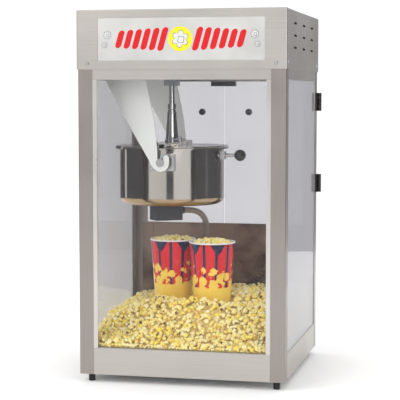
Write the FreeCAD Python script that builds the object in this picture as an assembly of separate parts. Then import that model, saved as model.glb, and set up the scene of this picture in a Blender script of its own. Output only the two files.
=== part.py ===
"""Counter-top popcorn machine: glazed cabinet, tilting kettle with a driven agitator, lit sign hood,
two rear doors, kernel drawer, and the popcorn and buckets that stand inside it.

Millimetres. Origin under the middle of the machine, on the counter. +Z up, customer side -Y,
operator's side +Y, +X to the customer's right.
"""
import FreeCAD, Part
import math
import os

V = FreeCAD.Vector
UP = V(0, 0, 1)
ACROSS = V(1, 0, 0)
BACK = V(0, 1, 0)

# ---------------------------------------------------------------- driving dimensions
# Cabinet
body_width = 600.0          # across the front
body_depth = 600.0          # front to back
foot_height = 24.0          # counter to the bottom edge of the rails
base_height = 76.0          # bottom rails
window_height = 771.0       # sill to head
head_height = 29.0          # top rails
hood_height = 168.0
hood_overhang = 3.0
sheet = 1.5                 # sheet metal of the cabinet
post_width = 42.0
strip_width = 13.0          # glass retaining strips beside the front window
flange_depth = 24.0         # inward flanges of the rails
lap = 18.0                  # how far joined sheets lie behind each other
corner_radius = 2.5
glass_thick = 4.0
glass_cover = 20.0          # glass behind the frame at each upright edge
gasket_height = 2.0
seam = 0.4                  # gap that shows between neighbouring sheets
play = 0.3                  # gap between pieces that move past each other
foot_inset = 28.0
foot_radius = 10.0
foot_hole_floor = 10.0      # counter to the bottom of the stud's blind hole
stud_radius = 4.0
stud_rise = 14.0            # stud above the pan
nut_flats = 13.0            # hexagons of the studs and the hanger bolts
nut_height = 6.0

# Deck
deck_edge = 9.0             # deck to the outer faces of the cabinet
hole_pitch = 50.0
hole_rows = 9
hole_radius = 4.0
heater_width = 60.0
heater_length = 400.0
heater_thick = 6.0
heater_from_drawer = 24.0

# Rear side
apron_top = 413.0           # top edge of the fixed rear panel
door_thick = 4.0
door_lap = 12.0             # how far the doors cover the frame at top and bottom
door_gap = 1.0              # between a door and the frame, and half the gap between the doors
hinge_axis_out = 8.0        # hinge pin outside the cabinet's side
hinge_length = 57.0
low_hinge_rise = 147.0      # middle of the low hinge above the doors' bottom edge
high_hinge_drop = 77.0      # middle of the high hinge below the doors' top edge
knuckle_radius = 6.0
hinge_pin_radius = 2.5
leaf_thick = 2.5
middle_share = 0.5          # of the hinge's length, the fixed knuckle in the middle
knob_drop = 110.0           # knob below the doors' top edge
knob_from_middle = 77.0
knob_screw_radius = 2.4
knob_screw_reach = 9.0      # screw beyond the pane, into the knob
drawer_width = 296.0
drawer_height = 56.0
drawer_length = 520.0
drawer_wall = 1.2
drawer_rise = 10.0          # drawer above the bottom edge of the rails
drawer_hole_side = 2.0
drawer_hole_over = 4.0      # opening above the drawer
drawer_face_lap = 12.0      # drawer's face over the panel, each side
drawer_face_thick = 2.0
pull_half = 55.0
pull_depth = 14.5

# Hood
sign_half_width = 241.0
sign_rise = 24.0            # hood's bottom edge to the sign's
sign_drop = 23.0            # hood's top to the sign's
sign_thick = 3.0
sign_cover = 10.0           # sign behind the edge of its opening
lamp_y = -262.0
lamp_rise = 84.0
lamp_radius = 8.0
lamp_half = 226.0
tray_upstand = 30.0
screw_radius = 2.4
screw_rise = 17.0           # front hood screws above the hood's bottom edge
side_screw_rise = 20.0
louvre_length = 48.0
louvre_height = 6.0
louvre_ys = (-160.0, 0.0, 160.0)
louvre_drops = (37.0, 72.0, 106.0)      # from the hood's top down to each row
control_width = 400.0
control_rise = 34.0         # hood's bottom edge to the control panel's
control_drop = 16.0         # hood's top to the control panel's
control_cover = 8.0         # panel over the edge of its opening, above and below
switch_pitch = 66.0
switch_rise = 92.0          # hood's bottom edge to the switches' middle
rocker_throw = 16.0         # degrees, off to on
rocker_pin_radius = 1.5
bezel_half_x = 14.0
bezel_half_z = 22.0
housing_half_x = 12.4
housing_half_z = 20.4
pocket_half_x = 10.4
pocket_half_z = 18.5
gland_x = 150.0
gland_rise = 66.0           # hood's bottom edge to the mains gland
gland_bore = 4.5
gland_thread = 8.0          # radius of the gland's thread

# Drive
gearbox_size = (92.0, 76.0, 82.0)
motor_radius = 36.0
motor_length = 118.0
motor_rise = 44.0           # motor's axis above the ceiling tray
bush_half = 20.0
bush_height = 44.0
shaft_radius = 8.0          # drive shaft
shaft_rise = 56.0           # drive shaft into the gearbox
agitator_radius = 6.0       # agitator shaft
bore_fit = 0.06
dog_radius = 12.0
dog_height = 6.7
dog_gap = 2.5               # between the two halves of the coupling
tongue_width = 5.0
tongue_height = 6.0
tongue_length = 21.0
slot_fit = 0.4              # slot beside the tongue

# Kettle
kettle_radius = 158.0
kettle_height = 174.0
kettle_drop = 226.0         # ceiling to the kettle's top
kettle_wall = 2.5
kettle_rim = 14.0           # how far the rim stands out
rim_lip = 7.0
kettle_floor = 28.0         # bottom to the cooking surface
floor_thick = 3.0
kettle_edge_radius = 22.0
kettle_window_gap = 28.0    # rim to the left edge of the cabinet
pivot_offset = 11.0         # tilt axis to the right of the kettle's middle
pivot_drop = 43.0           # kettle's top to the tilt axis
pin_radius = 9.0
pin_fit = 0.08
saddle_half_x = 38.0
saddle_half_z = 25.0
saddle_out = 8.0            # outer face of the saddle from the kettle's wall
trunnion_bolt_x = 30.0
trunnion_bolt_z = 19.0
trunnion_bolt_radius = 2.5
hanger_gap = 9.5            # rim to hanger plate
hanger_thick = 3.0
hanger_flange = 26.0
hanger_left = 48.0          # cabinet's left side to the hanger's top left corner
hanger_right = 31.0         # hanger's top right corner to the left of the kettle's middle
hanger_bolt_inset = 20.0
hanger_bolt_radius = 4.0
crossbar_half = 23.0
crossbar_height = 13.0
crossbar_sheet = 2.5
crossbar_screw_out = 5.5    # crossbar's screws outside the kettle's wall
crossbar_screw_radius = 2.5
tower_height = 89.0
tower_foot_radius = 21.5
tower_head_radius = 14.0
blade_lift = 3.0            # blades above the cooking surface
lid_thick = 2.0
lid_axis_out = 6.0          # lid hinge beside the crossbar
lid_axis_rise = 7.0
lid_pin_radius = 2.0
lid_barrel_radius = 4.0
lug_near = 52.0
lug_far = 60.0
handle_drop = 27.0          # kettle's top to the handle
handle_reach = 53.0
rod_radius = 5.0
ball_radius = 17.5

# Lead from the kettle's terminal box to the socket on the rear panel
lead_diameter = 18.0
box_length = 84.0
box_width = 59.0
box_height = 45.0
box_middle_y = -72.0
box_turn = math.degrees(math.atan2(3, 4))
gland_length = 15.0
lead_drop = 18.0            # kettle bottom to the lead's axis at the gland
socket_x = -100.0
socket_z = 344.0
socket_length = 29.0
socket_flange = 4.0
lead_route = [              # chosen by hand; the arcs go round every point but the ends
    (-54.4, -37.8, 482.0),
    (-30.4, -19.8, 482.0),
    (-9.0, 2.0, 470.0),
    (-1.0, 28.0, 446.0),
    (-6.0, 62.0, 412.0),
    (-20.0, 98.0, 372.0),
    (-46.0, 134.0, 342.0),
    (-74.0, 170.0, 328.0),
    (-94.0, 208.0, 330.0),
    (-100.0, 241.0, 344.0),
    (-100.0, 268.0, 344.0),
]

# Contents
bucket_rim_z = 390.0
bucket_height = 205.0
bucket_top_radius = 68.5
bucket_bottom_radius = 54.0
bucket_wall = 1.2
bucket_bead = 2.2           # radius of the rolled rim
heap_rise = 14.0            # height of the heap in a bucket
bucket_places = {"left": (-102.0, 20.0), "right": (34.0, -40.0)}
pile_gap = 0.5              # popcorn to the panes, the deck's edge and the buckets
pile_cells = 12
pile_foot = 10.0            # depth of the popcorn at the front glass
pile_slope = 215.0          # length of the slope up from the front glass
pile_rise = 84.0
pile_lean = 14.0            # more on the right than on the left
pile_left_drop = 32.0       # less at the left pane
pile_ripple = 5.0
pile_mounds = [             # bucket, offset from it in x and y, height, spread in x and in y
    ("left", -16.0, -95.0, 36.0, 75.0, 55.0),
    ("right", -10.0, -92.0, 38.0, 80.0, 50.0),
    ("right", 78.0, 100.0, 22.0, 50.0, 90.0),
]

# ---------------------------------------------------------------- derived places
half_w = body_width / 2
half_d = body_depth / 2
base_z = foot_height
pan_top = base_z + 2 * sheet
sill_z = base_z + base_height
head_z = sill_z + window_height
hood_z = head_z + head_height
top_z = hood_z + hood_height
rail_half_x = half_w - post_width - seam
rail_half_y = half_d - post_width - seam
window_half = half_w - post_width - strip_width
glass_bottom = sill_z + gasket_height
glass_top = head_z - 0.5
deck_z = sill_z
deck_top = deck_z + sheet

drawer_bottom = base_z + drawer_rise
drawer_hole_top = drawer_bottom + drawer_height + drawer_hole_over
door_bottom = apron_top - door_lap
door_top = head_z + door_lap
door_inner = half_d + door_gap
door_outer = door_inner + door_thick
hinge_x = half_w + hinge_axis_out
hinge_y = door_inner + door_thick / 2
hinge_heights = (door_bottom + low_hinge_rise, door_top - high_hinge_drop)
knob_height = door_top - knob_drop

hood_half_w = half_w + hood_overhang
hood_half_d = half_d + hood_overhang
hood_sheet_top = top_z - sheet
tray_top = hood_z + sheet
sign_bottom = hood_z + sign_rise
sign_top = top_z - sign_drop
lamp_z = hood_z + lamp_rise
control_bottom = hood_z + control_rise
control_top = top_z - control_drop
panel_outer = hood_half_d + sheet
switch_z = hood_z + switch_rise
rocker_pivot_y = panel_outer - 4.5
gland_z = hood_z + gland_rise

kettle_top = hood_z - kettle_drop
kettle_bottom = kettle_top - kettle_height
kettle_x = -half_w + kettle_window_gap + kettle_radius + kettle_rim
rim_radius = kettle_radius + kettle_rim
cover_top = kettle_bottom + kettle_edge_radius
floor_z = kettle_bottom + kettle_floor
pivot_x = kettle_x + pivot_offset
pivot_z = kettle_top - pivot_drop
hanger_y = rim_radius + hanger_gap
hanger_left_x = -half_w + hanger_left
hanger_right_x = kettle_x - hanger_right
crossbar_top = kettle_top + crossbar_height
crossbar_screw_y = kettle_radius + crossbar_screw_out
tower_top = crossbar_top + tower_height
dog_bottom = tower_top + play
dog_face = dog_bottom + dog_height
upper_dog_bottom = dog_face + dog_gap
lid_axis_x = kettle_x + crossbar_half + lid_axis_out
lid_axis_z = kettle_top + lid_axis_rise
handle_z = kettle_top - handle_drop
box_top = kettle_bottom
shaft_top = tray_top + shaft_rise
motor_z = tray_top + motor_rise
motor_x = kettle_x + gearbox_size[0] / 2


# ---------------------------------------------------------------- helpers
def box(x0, x1, y0, y1, z0, z1):
    """A block between two corners."""
    return Part.makeBox(x1 - x0, y1 - y0, z1 - z0, V(x0, y0, z0))


def rod(radius, start, end):
    """A round bar from one point to another."""
    a, b = V(*start), V(*end)
    return Part.makeCylinder(radius, (b - a).Length, a, b - a)


def cone(radius_a, radius_b, start, end):
    """A tapered round bar."""
    a, b = V(*start), V(*end)
    return Part.makeCone(radius_a, radius_b, (b - a).Length, a, b - a)


def join(*shapes):
    """One solid from several that touch or overlap."""
    return shapes[0].fuse(list(shapes[1:])).removeSplitter()


def group(shapes):
    """Separate solids kept in one node."""
    return Part.makeCompound([s for shape in shapes for s in shape.Solids])


def cut(shape, *tools):
    """The shape with the tools taken out of it."""
    return shape.cut(list(tools))


def mirrored(shape, normal=ACROSS):
    """The same piece on the other side of the middle."""
    return shape.mirror(V(0, 0, 0), normal)


def turned(shape, angle, x=0.0, y=0.0, z=0.0):
    """Turned about the vertical, then moved."""
    placed = shape.copy()
    placed.rotate(V(0, 0, 0), UP, angle)
    placed.translate(V(x, y, z))
    return placed


def path_wire(start, steps, to_point):
    """A closed outline. A step is the next point, or (a point on the way, the next point) for an arc."""
    edges = []
    here = start
    for step in steps + [start]:
        if isinstance(step[0], tuple):
            way, there = step
            edges.append(Part.Arc(to_point(here), to_point(way), to_point(there)).toShape())
        else:
            there = step
            if there == here:
                continue
            edges.append(Part.makeLine(to_point(here), to_point(there)))
        here = there
    return Part.Wire(edges)


def turned_solid(start, steps, x=0.0, y=0.0):
    """An outline of (radius, height) points turned about a vertical axis."""
    wire = path_wire(start, steps, lambda p: V(x + p[0], y, p[1]))
    return Part.Face(wire).revolve(V(x, y, 0), UP, 360)


def dome(radius, base, rise):
    """The step of an outline that closes a round top with part of a sphere, up to the axis."""
    sphere = (radius ** 2 + rise ** 2) / (2 * rise)
    half_angle = math.asin(radius / sphere) / 2
    middle = base + rise - sphere
    way = (sphere * math.sin(half_angle), middle + sphere * math.cos(half_angle))
    return way, (0, base + rise)


def plate_xz(start, steps, y0, y1):
    """An outline of (x, z) points made as thick as y0 to y1."""
    wire = path_wire(start, steps, lambda p: V(p[0], y0, p[1]))
    return Part.Face(wire).extrude(V(0, y1 - y0, 0))


def prism_yz(points, x0, x1):
    """An outline of (y, z) points made as long as x0 to x1."""
    wire = path_wire(points[0], points[1:], lambda p: V(x0, p[0], p[1]))
    return Part.Face(wire).extrude(V(x1 - x0, 0, 0))


def hexagon(across_flats, start, end):
    """A six-sided bar from one point to another, for bolt heads and nuts."""
    a, b = V(*start), V(*end)
    along = (b - a).normalize()
    side = along.cross(UP) if abs(along.z) < 0.9 else along.cross(ACROSS)
    side.normalize()
    other = along.cross(side)
    reach = across_flats / math.sqrt(3)
    corners = []
    for k in range(7):
        t = math.radians(60 * k)
        corners.append(a + side * (reach * math.cos(t)) + other * (reach * math.sin(t)))
    return Part.Face(Part.makePolygon(corners)).extrude(V(*end) - V(*start))


def round_upright_edges(shape, radius, wanted):
    """Fillets the upright edges whose (x, y) the test accepts."""
    edges = []
    for edge in shape.Edges:
        a, b = edge.Vertexes[0].Point, edge.Vertexes[-1].Point
        if abs(a.x - b.x) < 1e-6 and abs(a.y - b.y) < 1e-6 and wanted(a.x, a.y):
            edges.append(edge)
    return shape.makeFillet(radius, edges)


# ---------------------------------------------------------------- cabinet frame
def channel(length, height, flange_length, tabs):
    """A rail along X with its outer face on Y = 0, standing on Z = 0, its flanges towards +Y."""
    face = box(-length / 2, length / 2, 0, sheet, 0, height)
    low = box(-flange_length / 2, flange_length / 2, 0, flange_depth, 0, sheet)
    high = box(-flange_length / 2, flange_length / 2, 0, flange_depth, height - sheet, height)
    pieces = [face, low, high]
    if tabs:
        for side in (-1, 1):
            inner, outer = side * (length / 2 - lap), side * (length / 2 + lap)
            pieces.append(box(min(inner, outer), max(inner, outer), sheet, 2 * sheet, sheet,
                              height - sheet))
    return join(*pieces)


def front_rail(z, height):
    return turned(channel(2 * rail_half_x, height, 2 * (window_half - play), False), 0, 0,
                  -half_d, z)


def side_rail(side, z, height):
    return turned(channel(2 * rail_half_y, height, 2 * rail_half_y, True), 90 * side,
                  side * half_w, 0, z)


def rear_top_rail():
    return turned(channel(2 * rail_half_x, head_height, 2 * rail_half_x, True), 180, 0, half_d,
                  head_z)


def front_left_post():
    """An angle with a set-back flange that the retaining strip and the rails lie on."""
    front = box(-half_w, -half_w + post_width, -half_d, -half_d + sheet, base_z, hood_z)
    side = box(-half_w, -half_w + sheet, -half_d, -half_d + post_width, base_z, hood_z)
    setback = box(-half_w + post_width - 6, -window_half, -half_d + sheet, -half_d + 2 * sheet,
                  base_z, hood_z)
    post = join(front, side, setback)
    return round_upright_edges(post, corner_radius,
                               lambda x, y: x < -half_w + 0.1 and y < -half_d + 0.1)


def rear_left_post():
    rear = box(-half_w, -half_w + post_width, half_d - sheet, half_d, base_z, hood_z)
    side = box(-half_w, -half_w + sheet, half_d - post_width, half_d, base_z, hood_z)
    post = join(rear, side)
    return round_upright_edges(post, corner_radius,
                               lambda x, y: x < -half_w + 0.1 and y > half_d - 0.1)


def glass_retainers():
    strip = box(-half_w + post_width + seam, -window_half, -half_d, -half_d + sheet,
                sill_z + seam, head_z - seam)
    return group([strip, mirrored(strip)])


def front_glass():
    reach = window_half + glass_cover
    inner = -half_d + 2 * sheet
    return box(-reach, reach, inner, inner + glass_thick, glass_bottom, glass_top)


def side_glass(side):
    reach = half_d - post_width + 12
    outer = half_w - sheet
    pane = box(outer - glass_thick, outer, -reach, reach, glass_bottom, glass_top)
    return pane if side > 0 else mirrored(pane)


def window_gaskets():
    front = box(-window_half + 1, window_half - 1, -half_d + 2 * sheet - 1,
                -half_d + 2 * sheet + glass_thick + 1, sill_z, glass_bottom)
    side = box(half_w - sheet - glass_thick - 2, half_w - sheet - 0.2, -rail_half_y + 1,
               rail_half_y - 1, sill_z, glass_bottom)
    return group([front, side, mirrored(side)])


def base_pan():
    edge = 2 * sheet + seam
    pan = box(-half_w + edge, half_w - edge, -half_d + edge, half_d - edge, base_z + sheet, pan_top)
    holes = [rod(stud_radius + play, (x, y, base_z), (x, y, pan_top + 1)) for x, y in foot_places()]
    return cut(pan, *holes)


def foot_places():
    x, y = half_w - foot_inset, half_d - foot_inset
    return [(-x, -y), (x, -y), (-x, y), (x, y)]


def levelling_feet():
    """Plastic pads under the pan, each with a blind hole for its stud."""
    pads = []
    for x, y in foot_places():
        pad = cone(foot_radius - 1, foot_radius, (x, y, 0), (x, y, base_z + sheet))
        pads.append(cut(pad, rod(stud_radius, (x, y, foot_hole_floor), (x, y, pan_top))))
    return group(pads)


def foot_studs():
    """Threaded studs with their nuts, up through the pan."""
    studs = []
    for x, y in foot_places():
        stud = rod(stud_radius, (x, y, foot_hole_floor), (x, y, pan_top + stud_rise))
        nut = hexagon(nut_flats, (x, y, pan_top), (x, y, pan_top + nut_height))
        studs.append(join(stud, nut))
    return group(studs)


# ---------------------------------------------------------------- floor of the cabin


def perforated_deck():
    """The popcorn floor. Loose kernels fall through its holes into the drawer."""
    rear_edge = half_d - 2 * sheet - seam
    deck = box(-half_w + deck_edge, half_w - deck_edge, -half_d + deck_edge - 0.5, rear_edge,
               deck_z, deck_top)
    middle = (hole_rows - 1) / 2
    holes = [rod(hole_radius, ((i - middle) * hole_pitch, (j - middle) * hole_pitch, deck_z - 1),
                 ((i - middle) * hole_pitch, (j - middle) * hole_pitch, deck_top + 1))
             for i in range(hole_rows) for j in range(hole_rows)]
    return cut(deck, *holes)


def rear_deck_ledge():
    """Angle welded to the rear panel, under the deck's rear edge."""
    reach = rail_half_x - lap - 5
    inner = half_d - 2 * sheet
    upright = box(-reach, reach, inner, half_d - sheet, deck_z - 20, deck_z)
    shelf = box(-reach, reach, half_d - flange_depth, half_d - sheet, deck_z - sheet, deck_z)
    return join(upright, shelf)


def deck_heaters():
    """Two strip heaters under the deck, one each side of the drawer."""
    inner = drawer_width / 2 + heater_from_drawer
    strip = box(inner, inner + heater_width, -heater_length / 2, heater_length / 2,
                deck_z - heater_thick, deck_z)
    return group([strip, mirrored(strip)])


# ---------------------------------------------------------------- rear panel and drawer


def rear_apron():
    """Fixed rear panel, with the opening that the drawer slides through."""
    face = box(-rail_half_x, rail_half_x, half_d - sheet, half_d, base_z, apron_top)
    foot = box(-rail_half_x, rail_half_x, half_d - flange_depth, half_d, base_z, base_z + sheet)
    cap = box(-rail_half_x, rail_half_x, half_d - 14, half_d, apron_top - sheet, apron_top)
    tab = box(rail_half_x - lap, rail_half_x + lap, half_d - 2 * sheet, half_d - sheet,
              base_z + sheet, apron_top - sheet)
    hole_x = drawer_width / 2 + drawer_hole_side
    hole = box(-hole_x, hole_x, half_d - 5, half_d + 5, drawer_bottom - 4, drawer_hole_top)
    return cut(join(face, foot, cap, tab, mirrored(tab), rear_deck_ledge()), hole)


def kernel_drawer():
    """Open tray that catches unpopped kernels, with its rear face outside the panel."""
    reach = drawer_width / 2
    rear = half_d + play
    tray = box(-reach, reach, rear - drawer_length, rear, drawer_bottom,
               drawer_bottom + drawer_height)
    inside = box(-reach + drawer_wall, reach - drawer_wall, rear - drawer_length + drawer_wall,
                 rear - drawer_wall, drawer_bottom + drawer_wall, drawer_bottom + drawer_height + 1)
    face = box(-reach - drawer_face_lap, reach + drawer_face_lap, rear, rear + drawer_face_thick,
               drawer_bottom - 6, drawer_hole_top + 4)
    return join(cut(tray, inside), face)


def drawer_handle():
    """A folded pull across the drawer's face."""
    rear = half_d + play + drawer_face_thick
    z = drawer_bottom + drawer_height / 2
    out = rear + pull_depth
    grip = box(-pull_half, pull_half, out - 2, out, z - 12, z + 6)
    top = box(-pull_half, pull_half, rear, out, z + 6, z + 8)
    return join(grip, top)


def drawer_runners():
    """Two angles on the pan that carry the tray by its lower corners."""
    reach = drawer_width / 2
    front = half_d - drawer_length
    rear = half_d - flange_depth - 2
    shelf_top = drawer_bottom - play
    web = box(reach + play, reach + play + sheet, front, rear, pan_top, drawer_bottom + 20)
    shelf = box(reach - 14, reach + play, front, rear, shelf_top - sheet, shelf_top)
    foot = box(reach + play, reach + play + 14, front, rear, pan_top, pan_top + sheet)
    runner = join(web, shelf, foot)
    return group([runner, mirrored(runner)])


# ---------------------------------------------------------------- rear doors


def door_pane(side):
    pane = box(door_gap, half_w - 2, door_inner, door_outer, door_bottom, door_top)
    hole = rod(knob_screw_radius + 0.1, (knob_from_middle, door_inner - 1, knob_height),
               (knob_from_middle, door_outer + 1, knob_height))
    pane = cut(pane, hole)
    return pane if side > 0 else mirrored(pane)


def knuckle(z0, z1, bore):
    ring = rod(knuckle_radius, (hinge_x, hinge_y, z0), (hinge_x, hinge_y, z1))
    return cut(ring, rod(bore, (hinge_x, hinge_y, z0 - 1), (hinge_x, hinge_y, z1 + 1)))


def fixed_leaf(z):
    """Leaf on the cabinet's side, with the middle knuckle."""
    half = hinge_length / 2
    inner_half = half * middle_share
    leaf = box(half_w, half_w + leaf_thick, half_d - 34, half_d - 5, z - half, z + half)
    neck = box(half_w, half_w + leaf_thick, half_d - 5, hinge_y, z - inner_half, z + inner_half)
    bore = rod(hinge_pin_radius, (hinge_x, hinge_y, z - half), (hinge_x, hinge_y, z + half))
    return cut(join(leaf, neck, knuckle(z - inner_half, z + inner_half, hinge_pin_radius)), bore)


def moving_leaf(z):
    """Leaf on the door's face, with the two outer knuckles."""
    half = hinge_length / 2
    inner_half = half * middle_share + play
    leaf = box(half_w - 28, half_w - 3, door_outer, door_outer + leaf_thick, z - half, z + half)
    pieces = [leaf]
    for low, high in ((z - half, z - inner_half), (z + inner_half, z + half)):
        neck = box(half_w - 3, hinge_x, door_outer, door_outer + leaf_thick, low, high)
        pieces += [neck, rod(knuckle_radius, (hinge_x, hinge_y, low), (hinge_x, hinge_y, high))]
    bore = rod(hinge_pin_radius + bore_fit, (hinge_x, hinge_y, z - half - 1),
               (hinge_x, hinge_y, z + half + 1))
    return cut(join(*pieces), bore)


def door_hinge_leaves():
    leaves = [fixed_leaf(z) for z in hinge_heights]
    return group(leaves + [mirrored(leaf) for leaf in leaves])


def door_hinge_pins():
    half = hinge_length / 2
    pins = [rod(hinge_pin_radius, (hinge_x, hinge_y, z - half), (hinge_x, hinge_y, z + half))
            for z in hinge_heights]
    return group(pins + [mirrored(pin) for pin in pins])


def door_leaves(side):
    leaves = [moving_leaf(z) for z in hinge_heights]
    return group(leaves if side > 0 else [mirrored(leaf) for leaf in leaves])


def about_y(start, steps, x, y, z):
    """An outline of (radius, distance behind y) points turned about an axis along Y."""
    wire = path_wire(start, steps, lambda p: V(x + p[0], y + p[1], z))
    return Part.Face(wire).revolve(V(x, y, z), BACK, 360)


def door_knob(side):
    """A turned pull knob on the outside of the pane."""
    knob = about_y((0, 0), [(7, 0), (6, 3), (10, 5.5), ((11, 8), (9.5, 11)), (7, 12), (0, 12)],
                   knob_from_middle, door_outer, knob_height)
    knob = cut(knob, rod(knob_screw_radius, (knob_from_middle, door_outer, knob_height),
                         (knob_from_middle, door_outer + knob_screw_reach, knob_height)))
    return knob if side > 0 else mirrored(knob)


def knob_screw(side):
    """Screw and washer that hold the knob through the pane."""
    x, z = knob_from_middle, knob_height
    washer = rod(9, (x, door_inner - 1, z), (x, door_inner, z))
    head = cone(4.5, 5.5, (x, door_inner - 3.5, z), (x, door_inner - 1, z))
    shank = rod(knob_screw_radius, (x, door_inner - 1, z), (x, door_outer + knob_screw_reach, z))
    screw = join(washer, head, shank)
    return screw if side > 0 else mirrored(screw)


def door_strike(side):
    """Steel plate that the magnet holds, on the door's inner face."""
    plate = box(door_gap + 5, door_gap + 35, door_inner - 1, door_inner, head_z - 13, head_z - 2)
    return plate if side > 0 else mirrored(plate)


def door_catch():
    """Double magnetic catch under the rear head rail."""
    front = half_d - 28
    rear = door_inner - 1 - play
    body = box(-39, 39, front, rear - 3, head_z - 15, head_z)
    magnets = box(-36, 36, rear - 3, rear, head_z - 13, head_z - 2)
    return join(body, magnets)


# ---------------------------------------------------------------- hood


def hood_screw_places():
    """(point on the outer face, direction into the hood) of each hood screw."""
    places = []
    for side in (-1, 1):
        x = side * (half_w - foot_inset)
        places.append(((x, -hood_half_d, hood_z + screw_rise), (0, 1, 0)))
        places.append(((x, hood_half_d, hood_z + screw_rise), (0, -1, 0)))
        for y in (-half_d + 14, half_d - 37):
            places.append(((side * hood_half_w, y, hood_z + side_screw_rise), (-side, 0, 0)))
    return places


def along(point, direction, distance):
    return tuple(p + d * distance for p, d in zip(point, direction))


def hood_screws():
    """Pan-head screws through the hood into the upstand of the ceiling tray."""
    screws = []
    for point, into in hood_screw_places():
        head = cone(4.0, 5.2, along(point, into, -2.4), point)
        shank = rod(screw_radius, point, along(point, into, 9))
        screws.append(join(head, shank))
    return group(screws)


def screw_holes():
    return [rod(screw_radius, along(point, into, -1), along(point, into, 6))
            for point, into in hood_screw_places()]


def louvre(y, z):
    """A slot with round ends through both sides of the hood."""
    reach = (louvre_length - louvre_height) / 2
    out = hood_half_w + 1
    flat = box(-out, out, y - reach, y + reach, z - louvre_height / 2, z + louvre_height / 2)
    ends = [rod(louvre_height / 2, (-out, y + s * reach, z), (out, y + s * reach, z))
            for s in (-1, 1)]
    return join(flat, *ends)


def hood_shell():
    """Folded cover over the motor and the sign lamp, open underneath."""
    outer = box(-hood_half_w, hood_half_w, -hood_half_d, hood_half_d, hood_z, top_z)
    rounded = [e for e in outer.Edges
               if min(v.Point.z for v in e.Vertexes) > top_z - 1
               or abs(e.Vertexes[0].Point.z - e.Vertexes[-1].Point.z) > 1]
    outer = outer.makeFillet(corner_radius, rounded)
    inner = box(-hood_half_w + sheet, hood_half_w - sheet, -hood_half_d + sheet,
                hood_half_d - sheet, hood_z - 1, hood_sheet_top)
    sign_hole = box(-sign_half_width, sign_half_width, -hood_half_d - 1, -hood_half_d + 5,
                    sign_bottom, sign_top)
    control_hole = box(-control_width / 2 + 12, control_width / 2 - 12, hood_half_d - 5,
                       hood_half_d + 1, control_bottom + control_cover,
                       control_top - control_cover)
    slots = [louvre(y, top_z - drop) for y in louvre_ys for drop in louvre_drops]
    return cut(outer, inner, sign_hole, control_hole, *slots, *screw_holes())


def ceiling_tray():
    """Ceiling of the cabin, with upstands that the hood is screwed to."""
    half_x, half_y = hood_half_w - sheet, hood_half_d - sheet
    plate = box(-half_x, half_x, -half_y, half_y, hood_z, tray_top)
    top = tray_top + tray_upstand
    side = box(half_x - sheet, half_x, -half_y, half_y, hood_z, top)
    rear = box(-half_x, half_x, half_y - sheet, half_y, hood_z, top)
    lip = box(-half_x, half_x, -half_y, -half_y + sheet, hood_z, hood_z + 9)
    ear = box(sign_half_width + 23, half_x, -half_y, -half_y + sheet, hood_z, top)
    shaft_hole = rod(shaft_radius + 2, (kettle_x, 0, hood_z - 1), (kettle_x, 0, hood_z + 5))
    bolt_holes = [rod(hanger_bolt_radius, (x, y, hood_z - 1), (x, y, hood_z + 5))
                  for x, y in hanger_bolt_places()]
    tray = join(plate, side, mirrored(side), rear, lip, ear, mirrored(ear))
    return cut(tray, shaft_hole, *bolt_holes, *screw_holes())


def sign_panel():
    """Translucent sign behind the opening in the hood's front."""
    front = -hood_half_d + sheet
    return box(-sign_half_width - sign_cover, sign_half_width + sign_cover, front, front + sign_thick,
               sign_bottom - sign_cover, sign_top + sign_cover)


def sign_rails():
    """Strips that hold the sign against the hood, with ears beside the panel."""
    front = -hood_half_d + sheet
    back = front + sign_thick
    rails = []
    for z in (sign_bottom - 8, sign_top - 4):
        strip = box(-sign_half_width - 21, sign_half_width + 21, back, back + sheet, z, z + 12)
        ear = box(sign_half_width + sign_cover + play, sign_half_width + 21, front, back, z, z + 12)
        rails.append(join(strip, ear, mirrored(ear)))
    return group(rails)


def sign_lamp():
    """Lamp tube behind the sign."""
    return rod(lamp_radius, (-lamp_half, lamp_y, lamp_z), (lamp_half, lamp_y, lamp_z))


def lamp_holders():
    """Brackets on the ceiling tray that carry the lamp by its ends."""
    holder = box(lamp_half, lamp_half + 14, lamp_y - 11, lamp_y + 11, tray_top, lamp_z + 11)
    foot = box(lamp_half - 18, lamp_half, lamp_y - 11, lamp_y + 11, tray_top, tray_top + sheet)
    holder = join(holder, foot)
    return group([holder, mirrored(holder)])


def lamp_driver():
    """Driver box of the lamp, on the ceiling tray."""
    return box(90, 210, -150, -105, tray_top, tray_top + 30)


# ---------------------------------------------------------------- drive in the hood


def drive_bush():
    """Bearing block under the ceiling that the drive shaft runs in."""
    block = box(kettle_x - bush_half, kettle_x + bush_half, -bush_half, bush_half,
                hood_z - bush_height, hood_z)
    return cut(block, rod(shaft_radius + bore_fit, (kettle_x, 0, hood_z - bush_height - 1),
                          (kettle_x, 0, hood_z + 1)))


def gearbox():
    sx, sy, sz = gearbox_size
    case = box(kettle_x - sx / 2, kettle_x + sx / 2, -sy / 2, sy / 2, tray_top,
               tray_top + sz)
    case = round_upright_edges(case, 8, lambda x, y: True)
    bore = rod(shaft_radius + bore_fit, (kettle_x, 0, tray_top - 1),
               (kettle_x, 0, shaft_top + 1))
    return cut(case, bore)


def drive_motor():
    can = rod(motor_radius, (motor_x, 0, motor_z), (motor_x + motor_length, 0, motor_z))
    bell = cone(motor_radius, 20, (motor_x + motor_length, 0, motor_z),
                (motor_x + motor_length + 14, 0, motor_z))
    return join(can, bell)


def motor_bracket():
    """Saddle on the ceiling tray under the free end of the motor."""
    x0 = motor_x + motor_length * 0.55
    block = box(x0, x0 + 24, -40, 40, tray_top, motor_z - 12)
    return cut(block, rod(motor_radius, (x0 - 1, 0, motor_z), (x0 + 30, 0, motor_z)))


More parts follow.
